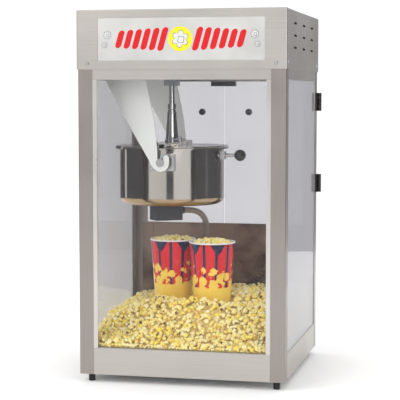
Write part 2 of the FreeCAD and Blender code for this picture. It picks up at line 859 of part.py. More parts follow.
def drive_shaft():
    """Shaft down from the gearbox, ending in a collar slotted for the agitator's tongue."""
    collar = rod(dog_radius, (kettle_x, 0, upper_dog_bottom), (kettle_x, 0, upper_dog_bottom + 16))
    shaft = rod(shaft_radius, (kettle_x, 0, upper_dog_bottom), (kettle_x, 0, shaft_top))
    slot = box(kettle_x - 20, kettle_x + 20, -tongue_width / 2 - slot_fit,
               tongue_width / 2 + slot_fit,
               upper_dog_bottom - 1, dog_face + tongue_height + 4)
    return cut(join(collar, shaft), slot)


# ---------------------------------------------------------------- control panel
def switch_places():
    return [(-switch_pitch, switch_z), (0.0, switch_z), (switch_pitch, switch_z)]


def control_panel():
    """Plate on the hood's rear face that carries the switches and the mains cord gland."""
    plate = box(-control_width / 2, control_width / 2, hood_half_d, panel_outer, control_bottom,
                control_top)
    holes = [box(x - housing_half_x, x + housing_half_x, hood_half_d - 1, panel_outer + 1,
                 z - housing_half_z, z + housing_half_z) for x, z in switch_places()]
    holes.append(rod(gland_thread, (gland_x, hood_half_d - 1, gland_z),
                     (gland_x, panel_outer + 1, gland_z)))
    holes += [rod(screw_radius, (x, hood_half_d - 1, z), (x, panel_outer + 1, z))
              for x, z in panel_screw_places()]
    return cut(plate, *holes)


def panel_screw_places():
    x = control_width / 2 - 6
    return [(s * x, z) for s in (-1, 1)
            for z in (control_bottom + control_cover, control_top - control_cover)]


def panel_screws():
    screws = []
    for x, z in panel_screw_places():
        head = cone(5.0, 4.0, (x, panel_outer, z), (x, panel_outer + 2.2, z))
        shank = rod(screw_radius, (x, hood_half_d, z), (x, panel_outer, z))
        screws.append(join(head, shank))
    return group(screws)


def switch_housings():
    """Bezel and body of each switch, open to the rear."""
    housings = []
    for x, z in switch_places():
        bezel = box(x - bezel_half_x, x + bezel_half_x, panel_outer, panel_outer + 2.5,
                    z - bezel_half_z, z + bezel_half_z)
        body = box(x - housing_half_x, x + housing_half_x, panel_outer - 24, panel_outer,
                   z - housing_half_z, z + housing_half_z)
        pocket = box(x - pocket_half_x, x + pocket_half_x, rocker_pivot_y - 8, panel_outer + 5,
                     z - pocket_half_z, z + pocket_half_z)
        bore = rod(rocker_pin_radius, (x - 20, rocker_pivot_y, z), (x + 20, rocker_pivot_y, z))
        housings.append(cut(join(bezel, body), pocket, bore))
    return group(housings)


def rocker_pins():
    return group([rod(rocker_pin_radius, (x - housing_half_x, rocker_pivot_y, z),
                      (x + housing_half_x, rocker_pivot_y, z)) for x, z in switch_places()])


def rocker(index):
    """A dished rocker, at rest in its off position with the top end out."""
    x, z = switch_places()[index]
    outline = [(-4, -13), (3.5, -17), (6.4, -16.6), (4.0, 0), (6.4, 16.6), (3.5, 17), (-4, 13)]
    shape = prism_yz(outline, x - pocket_half_x + play, x + pocket_half_x - play)
    shape = cut(shape, rod(rocker_pin_radius + bore_fit, (x - 20, 0, 0), (x + 20, 0, 0)))
    shape.rotate(V(0, 0, 0), ACROSS, -rocker_throw / 2)
    shape.translate(V(0, rocker_pivot_y, z))
    return shape


def mains_gland():
    """Cable gland for the mains cord, with its locknut inside the panel."""
    y = panel_outer
    nut = hexagon(22, (gland_x, y, gland_z), (gland_x, y + 5, gland_z))
    cap = cone(10, 7.5, (gland_x, y + 5, gland_z), (gland_x, y + 12, gland_z))
    thread = rod(gland_thread, (gland_x, y - 12, gland_z), (gland_x, y, gland_z))
    locknut = hexagon(20, (gland_x, y - 8, gland_z), (gland_x, y - sheet - 1, gland_z))
    bore = rod(gland_bore, (gland_x, y - 13, gland_z), (gland_x, y + 17, gland_z))
    return cut(join(nut, cap, thread, locknut), bore)


# ---------------------------------------------------------------- kettle hangers


def hanger_bolt_places():
    y = hanger_y - hanger_flange / 2
    xs = (hanger_left_x + hanger_bolt_inset, hanger_right_x - hanger_bolt_inset)
    return [(x, s * y) for x in xs for s in (-1, 1)]


def rear_hanger():
    """Plate from the ceiling that ends in an open hook for the kettle's trunnion pin."""
    left, right = hanger_left_x, hanger_right_x
    px, pz = pivot_x, pivot_z
    seat = pin_radius + pin_fit
    boss = 26.0
    lean = math.radians(40)
    outer_right = px + boss
    plate = plate_xz((left, hood_z), [
        (right, hood_z),
        (right, hood_z - 30),
        (px - 19, pz + 124),
        (px - seat, pz + 40),
        (px - seat, pz),
        ((px, pz - seat), (px + seat, pz)),
        (px + seat, pz + 14),
        ((px + (seat + boss) / 2, pz + 22), (outer_right, pz + 14)),
        (outer_right, pz),
        ((px + boss * math.cos(lean), pz - boss * math.sin(lean)), (px, pz - boss)),
        ((px - boss * 0.75, pz - boss * 0.66), (px - boss - 6, pz + 4)),
        (px - 79, pz + 83),
        (left, hood_z - 34),
    ], hanger_y, hanger_y + hanger_thick)
    flange = box(left, right, hanger_y - hanger_flange, hanger_y + hanger_thick,
                 hood_z - hanger_thick, hood_z)
    holes = [rod(hanger_bolt_radius, (x, y, hood_z - 10), (x, y, hood_z + 1))
             for x, y in hanger_bolt_places()]
    return cut(join(plate, flange), *holes)


def front_hanger():
    return mirrored(rear_hanger(), BACK)


def hanger_bolts():
    """Bolts up through hanger flange and ceiling, with their nuts in the hood."""
    bolts = []
    for x, y in hanger_bolt_places():
        flange_z = hood_z - hanger_thick
        head = hexagon(nut_flats, (x, y, flange_z - 5), (x, y, flange_z))
        shank = rod(hanger_bolt_radius, (x, y, flange_z), (x, y, tray_top + 10))
        nut = hexagon(nut_flats, (x, y, tray_top), (x, y, tray_top + nut_height))
        bolts.append(join(head, shank, nut))
    return group(bolts)


# ---------------------------------------------------------------- kettle


def trunnion_bolt_places():
    return [(pivot_x + sx * trunnion_bolt_x, pivot_z + sz * trunnion_bolt_z)
            for sx in (-1, 1) for sz in (-1, 1)]


def trunnion_bolt_holes():
    reach = kettle_radius + saddle_out + 1
    return [rod(trunnion_bolt_radius, (x, -reach, z), (x, reach, z))
            for x, z in trunnion_bolt_places()]


def kettle_pot():
    """Round pot with a cooking floor, a short skirt below it and a turned-down rim."""
    r, inner = kettle_radius, kettle_radius - kettle_wall
    lip = rim_radius - kettle_wall
    edge = 2.2
    bend = edge * (1 - math.sqrt(0.5))
    pot = turned_solid((0, floor_z - floor_thick), [
        (inner, floor_z - floor_thick), (inner, cover_top), (r, cover_top),
        (r, kettle_top - kettle_wall), (lip, kettle_top - kettle_wall),
        (lip, kettle_top - rim_lip), (rim_radius, kettle_top - rim_lip),
        (rim_radius, kettle_top - edge),
        ((rim_radius - bend, kettle_top - bend), (rim_radius - edge, kettle_top)),
        (inner, kettle_top), (inner, floor_z), (0, floor_z)], kettle_x)
    screws = [rod(crossbar_screw_radius, (kettle_x, s * crossbar_screw_y, kettle_top - 10),
                  (kettle_x, s * crossbar_screw_y, kettle_top + 1)) for s in (-1, 1)]
    return cut(pot, *trunnion_bolt_holes(), *screws)


def kettle_bottom_cover():
    """Dished cover that closes the heater space under the floor."""
    big, small = kettle_edge_radius, kettle_edge_radius - sheet
    flat = kettle_radius - big
    slope = math.sqrt(0.5)
    return turned_solid((0, kettle_bottom), [
        (flat, kettle_bottom),
        ((flat + big * slope, cover_top - big * slope), (kettle_radius, cover_top)),
        (kettle_radius - sheet, cover_top),
        ((flat + small * slope, cover_top - small * slope), (flat, kettle_bottom + sheet)),
        (0, kettle_bottom + sheet)], kettle_x)


def kettle_element():
    """Flat ring heater pressed against the underside of the floor."""
    under = floor_z - floor_thick
    return turned_solid((55, under - 5), [(118, under - 5), (118, under), (55, under)], kettle_x)


def kettle_thermostat():
    return rod(13, (kettle_x, 20, kettle_bottom + sheet),
               (kettle_x, 20, floor_z - floor_thick))


def rear_trunnion():
    """Saddle on the pot's wall with the pin that hangs in the hook."""
    outer = kettle_radius + saddle_out
    saddle = box(pivot_x - saddle_half_x, pivot_x + saddle_half_x, kettle_radius - 16, outer,
                 pivot_z - saddle_half_z, pivot_z + saddle_half_z)
    pot = rod(kettle_radius, (kettle_x, 0, kettle_bottom), (kettle_x, 0, kettle_top))
    saddle = cut(saddle, pot)
    collar = rod(pin_radius + 4, (pivot_x, outer, pivot_z), (pivot_x, hanger_y - 1.5, pivot_z))
    end = hanger_y + hanger_thick + 1.5
    pin = rod(pin_radius, (pivot_x, outer, pivot_z), (pivot_x, end, pivot_z))
    head = rod(pin_radius + 3, (pivot_x, end, pivot_z), (pivot_x, end + 3.5, pivot_z))
    return cut(join(saddle, collar, pin, head), *trunnion_bolt_holes())


def front_trunnion():
    return mirrored(rear_trunnion(), BACK)


def trunnion_bolts():
    """Bolts that hold both saddles through the pot's wall."""
    bolts = []
    outer = kettle_radius + saddle_out
    for x, z in trunnion_bolt_places():
        away = x - kettle_x
        inside = math.sqrt((kettle_radius - kettle_wall) ** 2 - away ** 2) - 5
        bolt = join(hexagon(9, (x, outer, z), (x, outer + 4, z)),
                    rod(trunnion_bolt_radius, (x, inside, z), (x, outer, z)))
        bolts += [bolt, mirrored(bolt, BACK)]
    return group(bolts)


def crossbar():
    """Channel across the rim that carries the tower and the lid's hinge."""
    reach = rim_radius - 1
    top = box(kettle_x - crossbar_half, kettle_x + crossbar_half, -reach, reach,
              crossbar_top - crossbar_sheet, crossbar_top)
    pieces = [top]
    for s in (-1, 1):
        outer, inner = kettle_x + s * crossbar_half, kettle_x + s * (crossbar_half - crossbar_sheet)
        pieces.append(box(min(outer, inner), max(outer, inner), -reach, reach, kettle_top,
                          crossbar_top))
        low, high = (lug_near, lug_far) if s > 0 else (-lug_far, -lug_near)
        pieces.append(box(kettle_x + crossbar_half - 1, lid_axis_x + lid_barrel_radius, low, high,
                          kettle_top + 2.6, lid_axis_z + lid_barrel_radius))
    shaft_hole = rod(agitator_radius + 3, (kettle_x, 0, kettle_top), (kettle_x, 0, crossbar_top + 1))
    screw_cuts = [rod(crossbar_screw_radius, (kettle_x, s * crossbar_screw_y, kettle_top),
                      (kettle_x, s * crossbar_screw_y, crossbar_top + 1)) for s in (-1, 1)]
    pin_hole = rod(lid_pin_radius, (lid_axis_x, -lug_far - 1, lid_axis_z),
                   (lid_axis_x, lug_far + 1, lid_axis_z))
    return cut(join(*pieces), shaft_hole, *screw_cuts, pin_hole)


def crossbar_screws():
    screws = []
    for s in (-1, 1):
        y = s * crossbar_screw_y
        head = hexagon(9, (kettle_x, y, crossbar_top), (kettle_x, y, crossbar_top + 4))
        shank = rod(crossbar_screw_radius, (kettle_x, y, kettle_top - 6), (kettle_x, y, crossbar_top))
        screws.append(join(head, shank))
    return group(screws)


def thumb_nuts():
    """Two knurled nuts that clamp the crossbar, beside the tower."""
    nuts = []
    for s in (-1, 1):
        x, y = kettle_x + 13, s * 46
        nut = cone(8, 7, (x, y, crossbar_top), (x, y, crossbar_top + 11))
        nuts.append(join(nut, rod(3, (x, y, crossbar_top + 11), (x, y, crossbar_top + 15))))
    return group(nuts)


def agitator_tower():
    """Tapered bearing tower for the agitator's shaft."""
    bore = agitator_radius + bore_fit
    return turned_solid((bore, crossbar_top), [
        (tower_foot_radius, crossbar_top), (tower_foot_radius, crossbar_top + 5),
        (tower_foot_radius - 2, crossbar_top + 9), (tower_head_radius, tower_top - 8),
        (tower_head_radius, tower_top), (bore, tower_top)], kettle_x)


def agitator_shaft():
    """Agitator shaft with the tongued half of the coupling at the top and a stop collar below."""
    tongue = box(kettle_x - tongue_length / 2, kettle_x + tongue_length / 2, -tongue_width / 2,
                 tongue_width / 2, dog_face, dog_face + tongue_height)
    dog = rod(dog_radius, (kettle_x, 0, dog_bottom), (kettle_x, 0, dog_face))
    shaft = rod(agitator_radius, (kettle_x, 0, floor_z + 1.5), (kettle_x, 0, dog_bottom))
    collar = rod(agitator_radius + 5, (kettle_x, 0, crossbar_top - crossbar_sheet - 10),
                 (kettle_x, 0, crossbar_top - crossbar_sheet - 1))
    return join(tongue, dog, shaft, collar)


def agitator_blades():
    """Hub with two sweeping arms and upright stirring pins, just above the floor."""
    hub = rod(13, (kettle_x, 0, floor_z + 1.5), (kettle_x, 0, floor_z + 22))
    reach = kettle_radius - kettle_wall - 8
    low, high = floor_z + blade_lift, floor_z + blade_lift + 8
    arm = box(kettle_x, kettle_x + reach, -3, 3, low, high)
    other = box(kettle_x - reach, kettle_x, -3, 3, low, high)
    pins = [rod(3, (kettle_x + d * reach, 0, floor_z + 9), (kettle_x + d * reach, 0, floor_z + 38))
            for d in (-0.85, -0.5, 0.5, 0.85)]
    shaft = rod(agitator_radius, (kettle_x, 0, floor_z), (kettle_x, 0, floor_z + 40))
    return cut(join(hub, arm, other, *pins), shaft)


def half_disc(radius, edge, z0, z1, sign):
    """The part of a disc beyond a line beside the kettle's middle."""
    disc = Part.makeCylinder(radius, z1 - z0, V(kettle_x, 0, z0), UP)
    if sign > 0:
        keep = box(kettle_x + edge, kettle_x + radius + 1, -radius, radius, z0 - 1, z1 + 1)
    else:
        keep = box(kettle_x - radius - 1, kettle_x - edge, -radius, radius, z0 - 1, z1 + 1)
    return disc.common(keep)


def fixed_lid():
    """Half lid on the loading side, screwed to the crossbar's side."""
    plate = half_disc(rim_radius - 3, crossbar_half, kettle_top, kettle_top + lid_thick, -1)
    fold = box(kettle_x - crossbar_half - sheet, kettle_x - crossbar_half, -120, 120, kettle_top,
               kettle_top + 10)
    return join(plate, fold)


def flap_lid():
    """Half lid on the pouring side, with the rolled barrel of its hinge."""
    low = kettle_top + play
    plate = half_disc(rim_radius - 3, crossbar_half + 7, low, low + lid_thick, 1)
    notches = [box(lid_axis_x - 10, lid_axis_x + 9, min(s * (lug_near - 1), s * (lug_far + 1)),
                   max(s * (lug_near - 1), s * (lug_far + 1)), low - 1, low + 5) for s in (-1, 1)]
    barrel_half = lug_near - play - 0.1
    barrel = rod(lid_barrel_radius, (lid_axis_x, -barrel_half, lid_axis_z),
                 (lid_axis_x, barrel_half, lid_axis_z))
    web = box(lid_axis_x + 1, lid_axis_x + lid_barrel_radius, -barrel_half, barrel_half, low,
              lid_axis_z)
    bore = rod(lid_pin_radius + bore_fit, (lid_axis_x, -lug_far, lid_axis_z),
               (lid_axis_x, lug_far, lid_axis_z))
    return cut(join(cut(plate, *notches), web, barrel), bore)


def lid_pin():
    return rod(lid_pin_radius, (lid_axis_x, -lug_far, lid_axis_z), (lid_axis_x, lug_far, lid_axis_z))


# ---------------------------------------------------------------- dump handle


def handle_mount():
    """Boss on the pot's right wall that the handle rod is fixed in."""
    block = box(kettle_x + kettle_radius - 6, kettle_x + kettle_radius + 8, -15, 15, handle_z - 12,
                handle_z + 12)
    return cut(block, rod(kettle_radius, (kettle_x, 0, kettle_bottom), (kettle_x, 0, kettle_top)))


def handle_rod():
    start = kettle_x + kettle_radius + 8
    return rod(rod_radius, (start, 0, handle_z), (kettle_x + kettle_radius + handle_reach, 0,
                                                  handle_z))


def handle_ball():
    middle = kettle_x + kettle_radius + handle_reach
    ball = Part.makeSphere(ball_radius, V(middle, 0, handle_z))
    return cut(ball, rod(rod_radius, (middle - 2 * ball_radius, 0, handle_z), (middle, 0, handle_z)))


# ---------------------------------------------------------------- terminal box and lead


def in_box_frame(shape):
    """From a frame along the box to its place under the kettle."""
    return turned(shape, box_turn, kettle_x, box_middle_y, 0)


def terminal_box():
    """Sheet box under the kettle, closed above by the kettle's cover."""
    outer = box(-box_length / 2, box_length / 2, -box_width / 2, box_width / 2,
                box_top - box_height, box_top)
    outer = round_upright_edges(outer, 3, lambda x, y: True)
    inner = box(-box_length / 2 + sheet, box_length / 2 - sheet, -box_width / 2 + sheet,
                box_width / 2 - sheet, box_top - box_height + sheet, box_top + 1)
    return in_box_frame(cut(outer, inner))


def terminal_block():
    """Ceramic block inside the box, where the lead's wires end."""
    floor = box_top - box_height + sheet
    block = box(-20, 20, -12, 12, floor, floor + 18)
    return in_box_frame(block)


def lead_gland():
    """Threaded fitting on the box's end that holds the lead."""
    start = box_length / 2
    z = box_top - lead_drop
    nut = hexagon(24, (start, 0, z), (start + 6, 0, z))
    sleeve = rod(lead_diameter / 2 + 1.5, (start + 6, 0, z), (start + gland_length, 0, z))
    return in_box_frame(join(nut, sleeve))


def lead_socket():
    """Round socket on the rear panel that the lead ends in."""
    wall = half_d - sheet
    tip = wall - socket_length + 1
    flange = rod(19, (socket_x, wall - socket_flange, socket_z), (socket_x, wall, socket_z))
    barrel = cone(lead_diameter / 2 + 2, 14, (socket_x, tip - 2.5, socket_z),
                  (socket_x, wall - socket_flange, socket_z))
    return join(flange, barrel)


def kettle_lead():
    """Sheathed lead: straight runs joined by tangent arcs, one arc round each inner point."""
    points = [V(*p) for p in lead_route]
    edges = []
    here = points[0]
    length = 0.0
    radii = []
    for before, corner, after in zip(points, points[1:], points[2:]):
        into = (corner - before).normalize()
        out = (after - corner).normalize()
        half_turn = into.getAngle(out) / 2
        shorter = min((corner - before).Length, (after - corner).Length)
        radius = 0.45 * shorter / math.tan(half_turn)
        start = corner - into * (0.45 * shorter)
        end = corner + out * (0.45 * shorter)
        inward = (out - into).normalize()
        centre = corner + inward * (radius / math.cos(half_turn))
        middle = centre - inward * radius
        edges += [Part.LineSegment(here, start).toShape(), Part.Arc(start, middle, end).toShape()]
        length += (start - here).Length + 2 * radius * half_turn
        radii.append(radius)
        here = end
    edges.append(Part.LineSegment(here, points[-1]).toShape())
    length += (points[-1] - here).Length
    path = Part.Wire(edges)
    first = (points[1] - points[0]).normalize()
    ring = Part.Wire(Part.makeCircle(lead_diameter / 2, points[0], first))
    tube = path.makePipeShell([ring], True, False)
    section = math.pi * (lead_diameter / 2) ** 2
    print("lead: length %.1f mm, volume ratio %.4f" % (length, tube.Volume / (section * length)))
    print("lead: radii", ", ".join("%.0f" % r for r in radii))
    return tube


# ---------------------------------------------------------------- popcorn and buckets


def pile_surface(x, y):
    """Height of the popcorn's surface: a slope up from the front glass, with mounds at the buckets."""
    across = x / half_w
    share = min(max((y + half_d - pile_foot) / pile_slope, 0.0), 1.0)
    slope = share * share * (3 - 2 * share)
    back = max(y + 60.0, 0.0) / half_d
    front = pile_foot + pile_lean * (1 - across) / 2
    ripple = pile_ripple * math.sin(x / 47.0) * math.cos(y / 61.0)
    rise = pile_rise + pile_lean * across - pile_left_drop * max(-across, 0.0)
    mounds = 0.0
    for place, dx, dy, height, spread_x, spread_y in pile_mounds:
        u = (x - bucket_places[place][0] - dx) / spread_x
        v = (y - bucket_places[place][1] - dy) / spread_y
        mounds += height * math.exp(-u * u - v * v)
    return deck_top + front + slope * rise + back * pile_lean + mounds + ripple


def bucket_radius_at(z):
    share = (z - bucket_rim_z + bucket_height) / bucket_height
    return bucket_bottom_radius + share * (bucket_top_radius - bucket_bottom_radius)


def popcorn_pile():
    """Closed solid under a facetted surface, with the hollows that the buckets stand in."""
    x0, x1 = -half_w + deck_edge + pile_gap, half_w - deck_edge - pile_gap
    y0, y1 = -half_d + deck_edge + pile_gap, half_d - 2 * sheet - 2
    xs = [x0 + (x1 - x0) * i / pile_cells for i in range(pile_cells + 1)]
    ys = [y0 + (y1 - y0) * j / pile_cells for j in range(pile_cells + 1)]
    bottom = deck_top

    def top(i, j):
        return V(xs[i], ys[j], pile_surface(xs[i], ys[j]))

    faces = []
    for i in range(pile_cells):
        for j in range(pile_cells):
            a, b, c, d = top(i, j), top(i + 1, j), top(i + 1, j + 1), top(i, j + 1)
            faces += [triangle(a, b, c), triangle(a, c, d)]
    n = pile_cells
    edges = [[top(i, 0) for i in range(n + 1)], [top(i, n) for i in range(n + 1)],
             [top(0, j) for j in range(n + 1)], [top(n, j) for j in range(n + 1)]]
    for line in edges:
        low_start = V(line[0].x, line[0].y, bottom)
        low_end = V(line[-1].x, line[-1].y, bottom)
        faces.append(Part.Face(Part.makePolygon([low_start, low_end] + line[::-1] + [low_start])))
    faces.append(Part.Face(Part.makePolygon([V(x0, y0, bottom), V(x1, y0, bottom),
                                             V(x1, y1, bottom), V(x0, y1, bottom),
                                             V(x0, y0, bottom)])))
    pile = Part.Solid(Part.Shell(faces))
    if pile.Volume < 0:
        pile.reverse()
    hollows = []
    for x, y in bucket_places.values():
        low = bucket_rim_z - bucket_height - play
        high = bucket_rim_z
        hollows.append(cone(bucket_radius_at(low) + pile_gap, bucket_radius_at(high) + pile_gap,
                            (x, y, low), (x, y, high)))
    return cut(pile, *hollows)


def triangle(a, b, c):
    return Part.Face(Part.makePolygon([a, b, c, a]))


def bucket_cup(place):
    """Paper bucket with a raised bottom and a rolled rim."""
    x, y = bucket_places[place]
    low, high = bucket_rim_z - bucket_height, bucket_rim_z
    bead = bucket_bead
    out = bucket_radius_at(high - 2 * bead)
    inner_low = bucket_radius_at(low + 8) - bucket_wall
    return turned_solid((0, low + 5), [
        (bucket_radius_at(low + 5) - bucket_wall, low + 5),
        (bucket_bottom_radius - bucket_wall, low), (bucket_bottom_radius, low),
        (out, high - 2 * bead),
        ((out + bead, high - bead), (out, high)),
        (out - bucket_wall, high),
        (inner_low, low + 8), (0, low + 8)], x, y)


def bucket_popcorn(place):
    """The popcorn in a bucket, heaped a little over the rim."""
    x, y = bucket_places[place]
    low, high = bucket_rim_z - bucket_height + 8, bucket_rim_z - 6
    slack = bucket_wall + play
    wide = bucket_radius_at(high - 5) - slack
    return turned_solid((0, low), [
        (bucket_radius_at(low) - slack, low), (wide, high), dome(wide, high, heap_rise)], x, y)


# ---------------------------------------------------------------- nodes
def bottom_rails():
    return group([front_rail(base_z, base_height), side_rail(-1, base_z, base_height),
                  side_rail(1, base_z, base_height)])


def top_rails():
    return group([front_rail(head_z, head_height), side_rail(-1, head_z, head_height),
                  side_rail(1, head_z, head_height), rear_top_rail()])


def corner_posts():
    left = [front_left_post(), rear_left_post()]
    return group(left + [mirrored(post) for post in left])


CABINET_NODES = {
    "bottom_rails": bottom_rails,
    "top_rails": top_rails,
    "corner_posts": corner_posts,
    "glass_retainers": glass_retainers,
    "front_glass": front_glass,
    "side_glasses": lambda: group([side_glass(-1), side_glass(1)]),
    "window_gaskets": window_gaskets,
    "base_pan": base_pan,
    "levelling_feet": levelling_feet,
    "perforated_deck": perforated_deck,
    "deck_heaters": deck_heaters,
    "rear_apron": rear_apron,
    "drawer_runners": drawer_runners,
    "door_hinges": lambda: group([door_hinge_leaves(), door_hinge_pins()]),
    "door_catch": door_catch,
    "cabinet_fasteners": lambda: group([foot_studs(), hanger_bolts(), hood_screws(),
                                        panel_screws()]),
    "hood_shell": hood_shell,
    "ceiling_tray": ceiling_tray,
    "sign_panel": sign_panel,
    "sign_lamp": sign_lamp,
    "sign_brackets": lambda: group([sign_rails(), lamp_holders(), lamp_driver()]),
    "gearbox": gearbox,
    "drive_motor": lambda: group([drive_motor(), motor_bracket()]),
    "drive_bush": drive_bush,
    "control_panel": control_panel,
    "switch_housings": lambda: group([switch_housings(), rocker_pins()]),
    "mains_gland": mains_gland,
    "front_hanger": front_hanger,
    "rear_hanger": rear_hanger,
    "lead_socket": lead_socket,
}

MOVING_NODES = {
    "kernel_drawer": lambda: group([kernel_drawer(), drawer_handle()]),
    "left_door_pane": lambda: door_pane(-1),
    "right_door_pane": lambda: door_pane(1),
    "left_door_fittings": lambda: group([door_leaves(-1), door_strike(-1)]),
    "right_door_fittings": lambda: group([door_leaves(1), door_strike(1)]),
    "left_door_knob": lambda: group([door_knob(-1), knob_screw(-1)]),
    "right_door_knob": lambda: group([door_knob(1), knob_screw(1)]),
    "motor_rocker": lambda: rocker(0),
    "kettle_rocker": lambda: rocker(1),
    "warmer_rocker": lambda: rocker(2),
    "drive_shaft": drive_shaft,
}

KETTLE_NODES = {
    "kettle_pot": kettle_pot,
    "kettle_bottom_cover": kettle_bottom_cover,
    "kettle_heater": lambda: group([kettle_element(), kettle_thermostat(), terminal_block()]),
    "trunnions": lambda: group([front_trunnion(), rear_trunnion()]),
    "crossbar": crossbar,
    "agitator_tower": agitator_tower,
    "kettle_fasteners": lambda: group([trunnion_bolts(), crossbar_screws(), thumb_nuts(),
                                       lid_pin()]),
    "fixed_lid": fixed_lid,
    "flap_lid": flap_lid,
    "agitator": lambda: group([agitator_shaft(), agitator_blades()]),
    "handle_rod": lambda: group([handle_mount(), handle_rod()]),
    "handle_ball": handle_ball,
    "terminal_box": terminal_box,
    "lead_gland": lead_gland,
    "kettle_lead": kettle_lead,
}

CONTENTS_NODES = {
    "popcorn": lambda: group([popcorn_pile(), bucket_popcorn("left"), bucket_popcorn("right")]),
    "left_bucket": lambda: bucket_cup("left"),
    "right_bucket": lambda: bucket_cup("right"),
}


def main():
    os.makedirs("parts", exist_ok=True)
    nodes = {**CABINET_NODES, **MOVING_NODES, **KETTLE_NODES, **CONTENTS_NODES}
    for name, make in nodes.items():
        shape = make()
        if not shape.isValid() or not shape.Solids:
            raise RuntimeError(name + " isn't a valid solid")
        shape.exportStep("parts/" + name + ".step")
    print(len(nodes), "nodes")


main()
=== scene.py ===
"""Looks of the counter-top popcorn machine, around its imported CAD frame.

Metres, in the same frame as the CAD: origin on the counter under the middle of the machine, +Z up,
customer's side -Y, operator's side +Y, +X to the customer's right.
"""
import math

import bmesh
import bpy
import numpy as np
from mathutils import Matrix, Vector


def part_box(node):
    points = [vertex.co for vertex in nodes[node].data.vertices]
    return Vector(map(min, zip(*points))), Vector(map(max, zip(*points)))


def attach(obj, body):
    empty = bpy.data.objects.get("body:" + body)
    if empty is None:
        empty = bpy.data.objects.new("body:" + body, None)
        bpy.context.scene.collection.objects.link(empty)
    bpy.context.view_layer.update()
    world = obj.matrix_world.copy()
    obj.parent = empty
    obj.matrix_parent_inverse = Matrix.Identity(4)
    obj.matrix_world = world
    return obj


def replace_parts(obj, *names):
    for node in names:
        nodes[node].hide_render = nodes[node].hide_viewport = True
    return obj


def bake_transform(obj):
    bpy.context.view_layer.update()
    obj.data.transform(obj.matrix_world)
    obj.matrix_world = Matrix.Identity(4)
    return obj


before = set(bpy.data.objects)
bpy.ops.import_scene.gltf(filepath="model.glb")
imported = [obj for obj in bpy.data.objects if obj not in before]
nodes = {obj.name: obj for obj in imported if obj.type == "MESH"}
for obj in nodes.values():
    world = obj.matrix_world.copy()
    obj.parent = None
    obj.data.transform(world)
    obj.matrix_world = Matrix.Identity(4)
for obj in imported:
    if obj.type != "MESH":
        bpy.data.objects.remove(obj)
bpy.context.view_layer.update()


# ---------------------------------------------------------------- materials
class Look:
    """A Principled material with short calls for the nodes that these surfaces use."""

    def __init__(self, name, color, roughness, metallic=0.0):
        self.material = bpy.data.materials.new(name)
        self.material.use_nodes = True
        self.tree = self.material.node_tree
        self.shader = self.tree.nodes["Principled BSDF"]
        self.set("Base Color", color)
        self.set("Roughness", roughness)
        self.set("Metallic", metallic)

    def node(self, kind, **settings):
        made = self.tree.nodes.new("ShaderNode" + kind)
        for key, value in settings.items():
            setattr(made, key, value)
        return made

    def put(self, socket, value):
        """A socket takes a number, a colour or the output of another node."""
        if isinstance(value, bpy.types.NodeSocket):
            self.tree.links.new(value, socket)
        elif isinstance(value, tuple) and len(value) == 3 and socket.type == "RGBA":
            socket.default_value = (*value, 1.0)
        else:
            socket.default_value = value

    def set(self, name, value):
        self.put(self.shader.inputs[name], value)

    def math(self, operation, *values):
        made = self.node("Math", operation=operation)
        for socket, value in zip(made.inputs, values):
            self.put(socket, value)
        return made.outputs[0]

    def mix(self, factor, first, second):
        made = self.node("Mix", data_type="RGBA")
        self.put(made.inputs[0], factor)
        self.put(made.inputs[6], first)
        self.put(made.inputs[7], second)
        return made.outputs[2]

    def between(self, value, low, high, from_low=0.0, from_high=1.0):
        made = self.node("MapRange")
        for socket, number in zip(made.inputs, (value, from_low, from_high, low, high)):
            self.put(socket, number)
        return made.outputs[0]

    def noise(self, stretch, detail=3.0):
        """Noise over the row frame, stretched by a different scale along each axis."""
        mapping = self.node("Mapping")
        self.put(mapping.inputs["Vector"], self.node("TexCoord").outputs["Object"])
        mapping.inputs["Scale"].default_value = stretch
        made = self.node("TexNoise")
        self.put(made.inputs["Vector"], mapping.outputs[0])
        made.inputs["Scale"].default_value = 1.0
        made.inputs["Detail"].default_value = detail
        return made.outputs[0]

    def bump(self, height, depth, strength=1.0):
        made = self.node("Bump")
        self.put(made.inputs["Height"], height)
        made.inputs["Distance"].default_value = depth
        made.inputs["Strength"].default_value = strength
        self.set("Normal", made.outputs[0])


ACROSS_GRAIN = 1100.0       # brush marks for each metre across the grain
ALONG_GRAIN = 5.0
APRON_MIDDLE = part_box("rear_apron")[1][1] - 0.0008      # inside the thickness of the rear panel


def brushed(name, color, roughness, upright=False):
    """Stainless sheet with fine brush marks, hand marks and slow changes of tone."""
    look = Look(name, color, roughness, 1.0)
    grain = ((ACROSS_GRAIN, ACROSS_GRAIN, ALONG_GRAIN) if upright
             else (ALONG_GRAIN, ALONG_GRAIN, ACROSS_GRAIN))
    marks = look.noise(grain, 2.0)
    clouds = look.noise((5.0, 5.0, 7.0), 4.0)
    dark = tuple(0.94 * c for c in color)
    light = tuple(min(1.0, 1.04 * c) for c in color)
    look.set("Base Color", look.mix(look.between(marks, 0.0, 1.0, 0.3, 0.7), dark, light))
    look.set("Roughness", look.between(clouds, roughness - 0.05, roughness + 0.09, 0.3, 0.7))
    look.bump(marks, 0.00005, 0.4)
    return look.material


